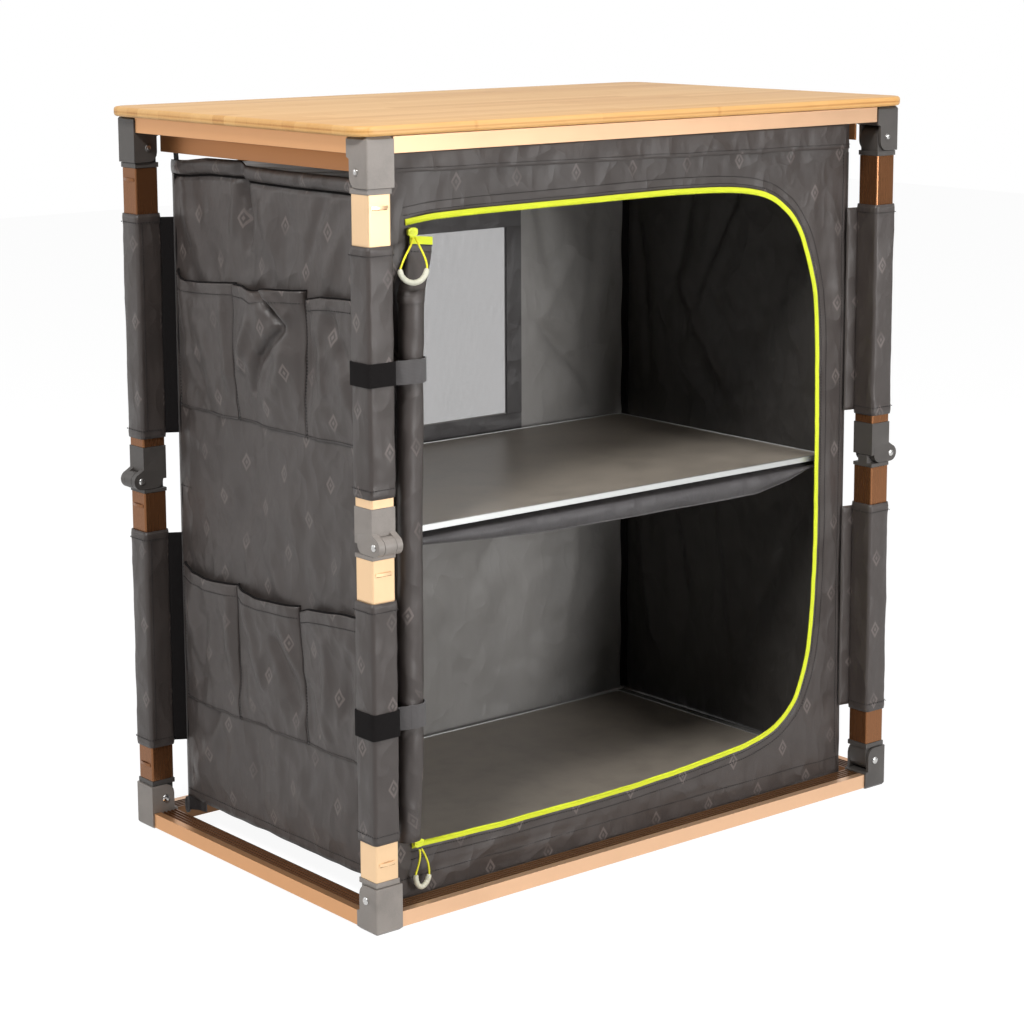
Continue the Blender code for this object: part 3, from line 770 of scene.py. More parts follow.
@dataclass(frozen=True)
class Studio:
    """The floor, the cards that darken the reflections, the lamps and the world."""

    floor_half: float = 6.0
    lamps: tuple[Lamp, ...] = (
        Lamp((0.6, -3.0, 0.85), 1.1, 52.0), Lamp((-1.95, -1.0, 2.4), 0.7, 57.0), Lamp((0.5, -1.2, 3.2), 1.6, 24.0),
        Lamp((-2.2, 2.4, 1.6), 1.6, 10.0), Lamp((2.3, -2.3, 1.2), 0.7, 13.0),
    )
    cards: tuple[tuple[Place, float], ...] = (((-2.1, -2.3, 1.0), 3.6), ((2.6, -1.7, 1.0), 1.3))
    card_span: Pair = (-0.98, 1.0)
    world_strength: float = 0.24

    def build(self) -> None:
        """Makes the studio."""
        Camera().build()
        half = self.floor_half
        rows = [[(x, y, 0.0) for x in (-half, half)] for y in (-half, half)]
        Sewing().grid(rows).make("studio_floor", White())
        for i, (place, wide) in enumerate(self.cards):
            side = Vector(place).cross(UP).normalized() * (wide / 2)
            rows = [[Vector(place) + side * a + UP * b for a in (-1, 1)] for b in self.card_span]
            Sewing().grid(rows).make(f"studio_card_{i}", Shade())
        for i, lamp in enumerate(self.lamps):
            lamp.build(f"lamp_{i}")
        self.world()
        bpy.context.scene.view_settings.view_transform = "Standard"

    def world(self) -> None:
        """A white world, faint as a light and full where it is seen."""
        world = bpy.data.worlds.new("studio")
        bpy.context.scene.world = world
        world.use_nodes = True
        nodes = Nodes(world.node_tree)
        seen = nodes.ray("Camera").most(nodes.ray("Transmission")).most(nodes.ray("Glossy"))
        sky = world.node_tree.nodes["Background"].inputs
        nodes.feed(sky["Color"], (1.0, 1.0, 1.0))
        nodes.feed(sky["Strength"], nodes.node("ShaderNodeMapRange", None, {0: seen, 3: self.world_strength, 4: 1.0}))


@dataclass(frozen=True)
class Fabric(Finish):
    """Woven polyester: a tight weave, soft colour changes and a faint tonal lattice on the outer cloth."""

    name: str = "outer_fabric"
    colour: Colour = srgb(57, 50, 47)
    pitch: float = 0.9 * MM
    lattice: float = 0.85
    sheen: float = 0.06
    roughness: float = 0.40
    crumple: float = 6.5 * MM
    cell: Pair = (0.074, 0.040)
    lozenge: Pair = (0.0064, 0.0095)

    def paint(self, shader: Shader) -> None:
        """The weave, the lattice of lozenges and the wear."""
        place = shader.place(uv=True)
        across, along, _ = shader.parts(place)
        weave = self.weave(across, along)
        broad = shader.noise(place, 9.0, 4.0, 0.6)
        grain = shader.noise(shader.scaled(place, 900.0, 900.0, 1.0), 1.0, 2.0)
        share = (weave - 0.5) * 0.10 + (broad - 0.5) * 0.16 + (grain - 0.5) * 0.12
        if self.lattice:
            faded = shader.noise(place, 24.0, 2.0).eased(0.38, 0.62)
            share = share + self.lozenges(across, along) * (faded * 0.7 + 0.3) * self.lattice
        shader.set(
            Base_Color=shader.shades(share + 0.38, (0.0, 0.38, 1.0), self.colour, 0.62, 2.3, 0.02),
            Roughness=(broad * 0.12 + self.roughness - 0.06), Sheen_Weight=self.sheen, Sheen_Roughness=0.4,
            Specular_IOR_Level=0.5,
        )
        bent = shader.noise(place, 5.0, 2.0)
        fold = abs(shader.noise(place, 13.0, 2.0, 0.4) - 0.5)
        pleat = abs(shader.noise(shader.scaled(place, 1.0, 0.55, 1.0), 31.0, 2.0, 0.4) - 0.5)
        soft = bent * 1.6 - fold * 1.5 - pleat * 0.7
        shader.bump(soft + (weave + grain * 0.4) * (0.00006 / self.crumple), self.crumple)

    def weave(self, across: Signal, along: Signal) -> Signal:
        """The height of a plain weave over the cloth map, from 0 to 1."""
        warp, weft = ((way * (math.pi / self.pitch)).wave() for way in (across, along))
        check = (warp * weft).above(0.0)
        return abs(warp) * check + abs(weft) * (1.0 - check)

    def lozenges(self, across: Signal, along: Signal) -> Signal:
        """1 on the outline and the core of each lozenge; every other row is half a cell on."""
        wide, tall = self.cell
        x = ((across / wide + (along / tall).whole() * 0.5).part() - 0.5) * wide
        y = ((along / tall).part() - 0.5) * tall
        lozenge = abs(x) / self.lozenge[0] + abs(y) / self.lozenge[1]
        ring = lozenge.eased(0.56, 0.64) * (1.0 - lozenge.eased(0.94, 1.04))
        return ring + (1.0 - lozenge.eased(0.22, 0.32))


@dataclass(frozen=True)
class Mesh(Finish):
    """Window netting: open between its threads."""

    name: str = "window_netting"
    colour: Colour = srgb(112, 108, 110)
    pitch: float = 1.1 * MM
    thread: float = 0.40

    def paint(self, shader: Shader) -> None:
        """Threads in two directions with holes between."""
        place = shader.place(uv=True)
        across, along, _ = shader.parts(place)
        x, y = (abs((way / self.pitch).part() - 0.5).above(0.5 - self.thread / 2) for way in (across, along))
        broad = shader.noise(place, 20.0, 3.0)
        shader.set(Base_Color=shader.ramp(broad, (0.3, toned(self.colour, 0.8)), (0.7, self.colour)),
                   Roughness=0.7, Alpha=x.most(y))
        shader.bump(broad, 0.0002, 0.5)


@dataclass(frozen=True)
class Bamboo(Finish):
    """Laminated bamboo strips under a clear satin coat, with nodes along them and a striped edge."""

    name: str = "bamboo_laminate"
    strip: float = 19.5 * MM
    block: float = 0.31
    pale: Colour = srgb(222, 176, 112)
    middle: Colour = srgb(207, 155, 88)
    deep: Colour = srgb(170, 112, 52)

    def paint(self, shader: Shader) -> None:
        """Strips that run along X, each with its own tone, grain and knuckles."""
        x, y, z = shader.parts(shader.place())
        strip = (y / self.strip + 40.0).whole()
        own = shader.random(strip, 3.0, 1.0)
        blocks = (x + own * 0.37) / self.block
        tone = shader.random(strip, blocks.whole(), 7.0)
        fibre = shader.noise(shader.vector(x * 14.0, y * 900.0, z * 300.0 + own * 9.0), 1.0, 4.0, 0.6)
        broad = shader.noise(shader.vector(x * 3.0, y * 40.0, own), 1.0, 3.0)
        knuckle = 1.0 - abs(blocks.part() - 0.5).eased(0.0, 0.012)
        seam = 1.0 - (0.5 - abs((y / self.strip).part() - 0.5)).eased(0.0, 0.018)
        side = 1.0 - z.eased(0.7575, 0.7582)
        layer = (1.0 - abs((z - 0.7540) / 0.0018).eased(0.35, 0.6)) * side
        share = tone * 0.42 + (fibre - 0.5) * 0.55 + broad * 0.25 + knuckle * 0.22 + seam * 0.30 + layer * 0.35
        shader.set(Base_Color=shader.ramp(share, (0.05, self.pale), (0.5, self.middle), (1.0, self.deep)),
                   Roughness=0.48 + fibre * 0.10, Coat_Weight=0.12, Coat_Roughness=0.3)
        shader.bump(fibre * 0.4 - seam, 0.00012, 0.6)


@dataclass(frozen=True)
class Aluminium(Finish):
    """Anodised aluminium with a fine brushed grain along one axis and softer wear at random."""

    name: str = "bronze_anodised"
    colour: Colour = srgb(238, 202, 160)
    grain_axis: str = "Z"
    roughness: float = 0.32
    metallic: float = 0.78
    # painted shade: scales of the colour on the base's inner slope and ribs, and on the top frame's lower lips
    shaded: Place = (0.22, 0.17, 0.12)
    lipped: Place = (0.60, 0.50, 0.40)

    def paint(self, shader: Shader) -> None:
        """Brushed grain, faint blotches and handling marks."""
        place = shader.place()
        stretch = (12.0 if axis == self.grain_axis else 900.0 for axis in "XYZ")
        grain = shader.noise(shader.scaled(place, *stretch), 1.0, 3.0, 0.6)
        blotch = shader.noise(place, 14.0, 4.0, 0.6)
        specks = shader.noise(place, 260.0, 2.0).eased(0.70, 0.78)
        share = 0.5 + (grain - 0.5) * 0.06 + (blotch - 0.5) * 0.14 + specks * 0.03
        tone = shader.shades(share, (0.15, 0.5, 0.9), self.colour, 0.72, 1.18, 0.01)
        # the rails get painted shade on their inner faces, ribs and lower lips
        if self.grain_axis != "Z":
            tone = self.rail_tone(shader, place, tone)
        shader.set(Base_Color=tone, Metallic=self.metallic,
                   Roughness=self.roughness + (grain - 0.5) * 0.10 + (blotch - 0.5) * 0.08)
        shader.bump(grain, 0.00001, 0.4)

    def rail_tone(self, shader: Shader, place: Signal, tone: Signal) -> Signal:
        """A rail's tone with painted shade: darker on the base's inner slope and ribs and on the top frame's lower
        lips, where shade falls.
        """
        x, y, z = shader.parts(place)
        way, slope, ribs = (y, 0.2033, 0.1860) if self.grain_axis == "X" else (x, 0.3403, 0.3230)
        shade = (abs(way).below(slope) * z.above(0.0155)).most(abs(way).below(ribs)) * z.below(0.0200)
        lip_painted_shade = z.above(0.5) * z.below(0.7330)
        for share, scale in ((shade, self.shaded), (lip_painted_shade, self.lipped)):
            tone = shader.mix(share, tone, tuple(c * k for c, k in zip(self.colour, scale)))
        return tone


@dataclass(frozen=True)
class Plastic(Finish):
    """Moulded plastic with a fine spark texture and rubbed patches."""

    name: str = "moulded_grey"
    colour: Colour = srgb(132, 125, 119)
    roughness: float = 0.44
    grain: float = 1.0
    rub: float = 0.10

    def paint(self, shader: Shader) -> None:
        """Fine grain, cloudy tone and shinier rubbed places."""
        place = shader.place()
        fine = shader.noise(place, 1500.0, 2.0)
        cloud = shader.noise(place, 30.0, 4.0, 0.6)
        rubbed = shader.noise(place, 110.0, 3.0).eased(0.60, 0.75)
        shader.set(Base_Color=shader.shades((fine - 0.5) * 0.4 + cloud, (0.3, 0.5, 0.75), self.colour, 0.84, 1.12),
                   Roughness=self.roughness + (cloud - 0.5) * 0.14 - rubbed * self.rub, Specular_IOR_Level=0.5)
        shader.bump(fine * self.grain, 0.00004, 0.7)


@dataclass(frozen=True)
class Webbing(Finish):
    """Ribbed woven tape: cords along the map's second direction with a fine pick across."""

    name: str = "strap_webbing"
    colour: Colour = srgb(72, 69, 69)
    pitch: float = 1.3 * MM

    def paint(self, shader: Shader) -> None:
        """Ribs, picks and a dusty tone."""
        place = shader.place(uv=True)
        across, along, _ = shader.parts(place)
        rib = abs((across * (math.pi / self.pitch)).wave())
        pick = abs((along * (math.pi / (self.pitch * 0.7))).wave())
        cloud = shader.noise(place, 60.0, 3.0)
        share = rib * 0.25 + pick * 0.2 + cloud * 0.4
        shader.set(Base_Color=shader.shades(share, (0.1, 0.5, 0.9), self.colour, 0.6, 1.3, 0.004),
                   Roughness=0.72 + cloud * 0.1, Sheen_Weight=0.2)
        shader.bump(rib + pick * 0.5, 0.0002, 0.7)


@dataclass(frozen=True)
class Pile(Finish):
    """Hook and loop tape: a deep black fuzz."""

    name: str = "loop_tape"
    colour: Colour = srgb(16, 14, 14)

    def paint(self, shader: Shader) -> None:
        """Tight curls that catch a little light."""
        curl = shader.noise(shader.place(), 1400.0, 3.0, 0.7)
        shader.set(Base_Color=shader.ramp(curl, (0.35, self.colour), (0.8, toned(self.colour, 2.6, 0.002))),
                   Roughness=1.0, Specular_IOR_Level=0.15)
        shader.bump(curl, 0.0004)


@dataclass(frozen=True)
class Steel(Finish):
    """Polished steel of rivets and pins."""

    name: str = "rivet_steel"
    colour: Colour = srgb(205, 204, 202)
    roughness: float = 0.24

    def paint(self, shader: Shader) -> None:
        """Fine scratches and finger marks."""
        place = shader.place()
        scratch = shader.noise(place, 1800.0, 2.0)
        marks = shader.noise(place, 220.0, 3.0)
        shader.set(Base_Color=shader.ramp(marks, (0.3, toned(self.colour, 0.8)), (0.7, self.colour)),
                   Metallic=1.0, Roughness=self.roughness + (scratch - 0.5) * 0.12 + marks * 0.06)
        shader.bump(scratch, 0.00002, 0.5)


@dataclass(frozen=True)
class Thread(Finish):
    """Twisted thread or braided cord."""

    name: str = "dark_thread"
    colour: Colour = srgb(24, 21, 22)
    roughness: float = 0.8

    def paint(self, shader: Shader) -> None:
        """A twist of fibres with small tone changes."""
        place = shader.place()
        fibre = shader.noise(place, 2400.0, 2.0)
        cloud = shader.noise(place, 90.0, 3.0)
        share = fibre * 0.6 + cloud * 0.4
        shader.set(Base_Color=shader.shades(share, (0.3, 0.5, 0.75), self.colour, 0.68, 1.25),
                   Roughness=self.roughness + (cloud - 0.5) * 0.1)
        shader.bump(fibre, 0.0001, 0.8)


BAMBOO = Bamboo()
UPRIGHT = Aluminium()
# a darker copy of the bronze: painted shade on the tubes of the three legs away from the light, and in the slits
# under the pressed marks
UPRIGHT_PAINTED_SHADE = Aluminium("bronze_anodised_painted_shade", srgb(132, 88, 56), roughness=0.28)
RAIL_X = Aluminium("bronze_anodised_across", srgb(222, 180, 144), "X", 0.36, 0.72)
RAIL_Y = Aluminium("bronze_anodised_along", srgb(212, 158, 110), "Y", 0.36, 0.74)
SILVER = Aluminium("bright_aluminium", srgb(206, 208, 206), "X", 0.34, 0.85)
PLASTIC = Plastic()
# a darker copy of the grey plastic: painted shade on the plastic parts of the legs away from the light
PLASTIC_PAINTED_SHADE = Plastic("moulded_grey_painted_shade", srgb(70, 66, 63), 0.46)
BOARD = Plastic("board_panel", srgb(146, 137, 126), 0.36, grain=0.1, rub=0.0)
GRIP = Plastic("soft_grip", srgb(196, 194, 176), 0.42, grain=0.5)
TOOTH = Plastic("zip_teeth_lime", srgb(226, 236, 52), 0.4, grain=0.3)
OUTER = Fabric()
LINING = Fabric("lining_fabric", srgb(138, 135, 132), 0.7 * MM, 0.0, roughness=0.46)
# a darker copy of the lining: painted shade inside the right wall
LINING_PAINTED_SHADE = Fabric("lining_fabric_painted_shade", srgb(54, 51, 48), 0.7 * MM, 0.0, roughness=0.42)
TRIM = Fabric("binding_fabric", srgb(66, 63, 63), 0.6 * MM, 0.0)
# near-black cloth: painted shade for the strap and flap at the cabinet's back left corner
WEB_PAINTED_SHADE = Fabric("web_fabric_painted_shade", srgb(28, 25, 26), lattice=0.0)
SLING = Fabric("sling_fabric", srgb(58, 55, 56), 0.7 * MM, 0.0)
LIME_TAPE = Fabric("lime_zip_tape", srgb(216, 226, 40), 0.6 * MM, 0.0, roughness=0.7)
NETTING = Mesh()
STRAP = Webbing()
LOOP_TAPE = Pile()
STEEL = Steel()
SEAM = Thread()
LIME_CORD = Thread("lime_cord", srgb(228, 222, 44), 0.55)


def ride_all(pieces: Sequence[Thing], body: str) -> None:
    """Makes pieces ride on a body."""
    for piece in pieces:
        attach(piece, body)


def fold_down(*pieces: Thing, lean: float = 0.0) -> None:
    """Makes soft pieces ride on the base, each with a mesh of its own."""
    ride_all(pieces, "base")
    for piece in pieces:
        -lean
        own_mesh(piece)


def loop_of(*points: Place) -> tuple[Vector, ...]:
    """A cord loop's points from the slider's eye and back to it, in tenths of a millimetre."""
    return tuple(Vector(point) / 10000 for point in ((-13, 0, 0), *points, (13, 0, 0)))


@dataclass(frozen=True)
class ZipPulls:
    """The two cord loops on the zip's sliders, with their moulded grips and the sliders' bridges."""

    slider_x: float = -0.277
    slider_back: float = -0.182
    slider_size: Place = (0.011, 0.0045, 0.008)
    cord_radius: float = 0.001
    cord_drop: float = 0.0015
    grip_radius: float = 0.0027
    grip_share: Pair = (0.29, 0.69)
    grip_around: int = 14
    upper: tuple[Vector, ...] = loop_of(
        (-117, -95, -56), (-233, -170, -132), (-305, -200, -216), (-329, -215, -272), (-287, -220, -339),
        (-190, -222, -379), (-90, -220, -360), (-31, -215, -296), (-10, -200, -230), (-20, -170, -144),
        (-15, -95, -62))
    lower: tuple[Vector, ...] = loop_of(
        (-12, -7, -67), (-40, -13, -157), (-66, -15, -215), (-74, -17, -263), (-59, -19, -332),
        (-15, -20, -372), (42, -19, -351), (80, -17, -295), (90, -15, -237), (78, -13, -154), (45, -7, -64))

    def build(self) -> None:
        """Makes both pulls and logs the length of their cords."""
        for level, height, shape in (("upper", 0.657, self.upper), ("lower", 0.068, self.lower)):
            eye = Vector((self.slider_x, self.slider_back - self.slider_size[1],
                          height - self.slider_size[2] / 2 - self.cord_drop))
            points = [eye + point for point in shape]
            route = smoothed(points, points[0], points[-1], 2)
            grip = self.grip(f"{level}_grip_sleeve", route)
            cord = self.cord(f"{level}_cord_loop", route)
            slider = self.slider(f"{level}_slider_body", height)
            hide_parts(f"{level}_pull_grip")
            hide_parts(f"{level}_pull_cord")
            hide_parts(f"{level}_zip_slider")
            ride_all([grip, cord, slider], f"{level}_zip")
            length = runs(route)[-1]
            LOG.info("%s pull: cord %.1f mm", level, length * 1000)

    def cord(self, name: str, route: Sequence[Vector]) -> Thing:
        """A braided cord along the route, as one open spline."""
        curve = bpy.data.curves.new(name, "CURVE")
        curve.dimensions = "3D"
        curve.bevel_depth = self.cord_radius
        curve.bevel_resolution = 3
        curve.use_fill_caps = True
        line = curve.splines.new("POLY")
        line.points.add(len(route) - 1)
        for point, place in zip(line.points, route):
            point.co = (*place, 1)
        curve.materials.append(LIME_CORD.material())
        return placed(name, curve)

    def grip(self, name: str, route: Sequence[Vector]) -> Thing:
        """A moulded sleeve round the loop's lowest part, with small ribs and round lips."""
        first, final = (round((len(route) - 1) * share) for share in self.grip_share)
        covered = route[first:final + 1]
        fine = [a.lerp(b, step / 4) for a, b in zip(covered, covered[1:]) for step in range(4)] + [covered[-1]]
        rings = []
        for i, point in enumerate(fine):
            direction = heading(fine, i).normalized()
            side = direction.cross(Vector((0, 1, 0))).normalized()
            other = direction.cross(side)
            end = min(i, len(fine) - 1 - i)
            radius = self.grip_radius * (0.72 + 0.28 * min(1.0, end / 2)) * (1.0 if i % 4 or end < 5 else 0.90)
            angles = (math.tau * k / self.grip_around for k in range(self.grip_around))
            rings.append([point + (side * math.cos(a) + other * math.sin(a)) * radius for a in angles])
        return lofted(name, rings, GRIP)

    def slider(self, name: str, height: float) -> Thing:
        """A slider: two plates with a waist between them, and the bridge that the cord hangs from."""
        half = Vector(self.slider_size) / 2
        middle = Vector((self.slider_x, self.slider_back - half.y, height))

        def plate(shape: Sequence[Pair], y: float, half_thick: float) -> Thing:
            """A plate facing the front, from its outline in shares of the slider's half width and height."""
            return lofted(f"{name}_plate", [
                [middle + Vector((x * half.x, y + side * half_thick, z * half.z)) for x, z in shape]
                for side in (-1, 1)], TOOTH)

        outline = ((-1, -0.55), (-0.55, -1), (0.5, -1), (1, -0.6), (1, 0.6), (0.5, 1), (-0.55, 1), (-1, 0.55))
        waist = ((-0.7, -0.25), (0.2, -0.25), (0.2, 0.25), (-0.7, 0.25))
        arch = [Vector((x * half.x, -half.y + 0.0016 - 0.0011 * math.sin(math.pi * t), 0)) + middle
                for x, t in ((-0.7, 0.0), (-0.6, 0.25), (-0.3, 0.5), (0.1, 0.5), (0.45, 0.25), (0.6, 0.0))]
        whole = joined(name, [
            plate(outline, half.y - 0.0006, 0.0006), plate(outline, -half.y + 0.0022, 0.0006),
            plate(waist, 0.0006, half.y - 0.0008), bar(f"{name}_bridge", arch, 0.0006, 0.0016, TOOTH)])
        return bevelled(whole, 0.0003, 40)


@dataclass(frozen=True)
class FoldingFrame:
    """Tabletop, rails, corner brackets and the four folding legs, with their rivets and pressed marks."""

    width: float = 0.700
    depth: float = 0.426
    top: float = 0.749
    slab: float = 0.010
    overhang: Pair = (0.011, 0.004)
    corner: float = 0.022
    nose: float = 0.0032
    nose_steps: int = 5
    tube: float = 0.026
    middle: float = 0.0155
    bracket: float = 0.031
    pivot_in: float = 0.0165
    pivots: Pair = (0.031, 0.717)
    knee: float = 0.374
    knee_out: float = -0.00075
    knee_half: float = 0.0139
    marks: tuple[tuple[float, Half], ...] = ((0.0680, Half.LOWER), (0.3470, Half.LOWER), (0.6850, Half.UPPER))
    mark_wide: float = 0.0190

    def world(self, leg: Leg, x: float, y: float, z: float) -> Vector:
        """A point in the model's frame from a leg's corner coordinates.

        Args:
            leg: The leg.
            x: Inwards across the fold.
            y: Inwards along the fold.
            z: The height.

        Returns:
            The point.
        """
        return self.aim(leg, x, y, z) + Vector((leg.value[1] * self.width / 2, leg.value[2] * self.depth / 2, 0))

    def aim(self, leg: Leg, x: float, y: float, z: float = 0.0) -> Vector:
        """A direction in the model's frame from a leg's corner coordinates."""
        return Matrix.Rotation(math.radians(leg.value[3]), 3, "Z") @ Vector((x, y, z))

    def build(self) -> None:
        """Makes and dresses the frame."""
        slab = self.tabletop()
        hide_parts("tabletop")
        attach(slab, "top_frame")
        levels = (("base", "base"), ("top", "top_frame"))
        for side, finish in (("front", RAIL_X), ("back", RAIL_X), ("left", RAIL_Y), ("right", RAIL_Y)):
            for level, body in levels:
                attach(softened(f"{level}_rail_{side}", f"{level}_profile_{side}", finish, 0.45 * MM), body)
        for leg in Leg:
            # the front left leg's plastic parts and the back left base bracket keep the plain grey; the others get
            # the darker copy, which is painted shade
            moulded = PLASTIC if leg is Leg.FRONT_LEFT else PLASTIC_PAINTED_SHADE
            for level, body in levels:
                grey = PLASTIC if (level, leg) == ("base", Leg.BACK_LEFT) else moulded
                bracket = f"{level}_bracket_{leg.label}"
                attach(softened(bracket, f"{level}_corner_{leg.label}", grey, 0.9 * MM, 3), body)
            for half in Half:
                level = half.value
                plug = softened(f"{level}_plug_{leg.label}", f"{level}_lug_{leg.label}", moulded, 0.5 * MM)
                knee = softened(f"{level}_knee_{leg.label}", f"{level}_casting_{leg.label}", moulded, 0.6 * MM)
                ride_all([plug, knee], f"{level}_leg_{leg.label}")
                self.dress_tube(f"{level}_tube_{leg.label}", self.tube_finish(leg))
        self.rivets()
        self.pressed_marks()
        LOG.info("frame: %d corner brackets, %d leg halves", 2 * len(Leg), len(Half) * len(Leg))

    def tube_finish(self, leg: Leg) -> Finish:
        """The finish of a leg's tubes: the front left leg's plain bronze, the other legs' a darker copy that paints
        the shade they stand in.
        """
        return UPRIGHT if leg is Leg.FRONT_LEFT else UPRIGHT_PAINTED_SHADE

    def dress_tube(self, node: str, finish: Finish) -> None:
        """Gives a leg tube its finish in place."""
        data = bpy.data.objects[node].data
        data.materials.clear()
        data.materials.append(finish.material())
        for polygon in data.polygons:
            polygon.material_index = 0

    def tabletop(self) -> Thing:
        """The bamboo slab, with a rounded edge and round corners."""
        low = self.top + 0.0003
        high = self.top + self.slab
        angles = [math.pi / 2 * i / self.nose_steps for i in range(self.nose_steps + 1)]
        levels = sorted((low + self.nose * (1 - math.sin(a)), self.nose * (1 - math.cos(a))) for a in angles)
        upper = [(high - (z - low), inset) for z, inset in reversed(levels)]
        rings = [self.slab_outline(inset, z) for z, inset in (*levels, *upper)]
        sewing = Sewing().grid(rings, closed=True)
        for ring, flip in ((rings[0], True), (rings[-1], False)):
            previous = ring
            for share in (0.66, 0.33):
                inner = [Vector((p.x * share, p.y * share, p.z)) for p in ring]
                sewing.grid([previous, inner], closed=True, flip=flip)
                previous = inner
            sewing.cap(previous, flip=flip)
        return outward(sewing.make("bamboo_slab", BAMBOO, smooth=50))

    def slab_outline(self, inset: float, z: float) -> list[Vector]:
        """The slab's outline at a height, drawn in by an inset."""
        half_x = self.width / 2 + self.overhang[0] - inset
        half_y = self.depth / 2 + self.overhang[1] - inset
        radius = self.corner - inset
        points = []
        for quarter, (sx, sy) in enumerate(((-1, -1), (1, -1), (1, 1), (-1, 1))):
            for step in range(9):
                angle = math.radians(180 + 90 * quarter + 90 * step / 8)
                points.append(Vector((sx * (half_x - radius) + radius * math.cos(angle),
                                      sy * (half_y - radius) + radius * math.sin(angle), z)))
        return points

    def rivets(self) -> None:
        """A domed head on each end of each pivot pin and knee pin, one piece for each leg half."""
        tree = rivet_tree()
        proud = 0.3 * MM
        pivot_ends = (-proud, self.bracket + proud)
        knee_ends = (self.middle - self.knee_half, self.middle + self.knee_half)
        for leg in Leg:
            for half, height, size in zip(Half, self.pivots, ({"radius": 4.1 * MM, "height": 1.7 * MM},
                                                              {"radius": 3.6 * MM, "height": 1.4 * MM})):
                pins = [(pivot_ends, self.pivot_in, height)]
                if half is Half.UPPER:
                    pins.append((knee_ends, self.knee_out, self.knee))
                spots = [[(self.world(leg, x, y, z), self.aim(leg, way, 0))]
                         for ends, y, z in pins for x, way in zip(ends, (-1, 1))]
                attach(tree.grow(f"{half.value}_rivets_{leg.label}", spots, STEEL, **size),
                        f"{half.value}_leg_{leg.label}")

    def pressed_marks(self) -> None:
        """The bridge pressed out of each tube's outer face near its ends, with a slit below it."""
        for leg in Leg:
            for half in Half:
                parts = [part for i, (height, belongs) in enumerate(self.marks) if belongs is half
                         for part in self.pressed_mark(f"mark_{half.value}_{leg.label}_{i}", leg, height)]
                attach(joined(f"{half.value}_pressed_marks_{leg.label}", parts), f"{half.value}_leg_{leg.label}")

    def pressed_mark(self, name: str, leg: Leg, height: float) -> list[Thing]:
        """One pressed bridge and the slit under it, whose darker bronze is painted shade.

        Args:
            name: The piece's name.
            leg: The leg.
            height: The height of its middle.

        Returns:
            Its two parts.
        """
        face = self.middle - self.tube / 2
        line = []
        for share in (step / 8 for step in range(9)):
            rise = 0.0013 * math.sin(math.pi * min(1.0, max(0.0, (share - 0.08) / 0.84))) ** 0.5
            line.append(self.world(leg, self.middle + self.mark_wide * (share - 0.5), face - 0.0001 - rise, height))
        slit = [self.world(leg, self.middle + side * (self.mark_wide / 2 - 0.001), face - 0.00015, height - 0.0019)
                for side in (-1, 0, 1)]
        return [bar(name, line, 0.0006, 0.0030, self.tube_finish(leg)),
                bar(f"{name}_slit", slit, 0.0002, 0.0008, UPRIGHT_PAINTED_SHADE)]


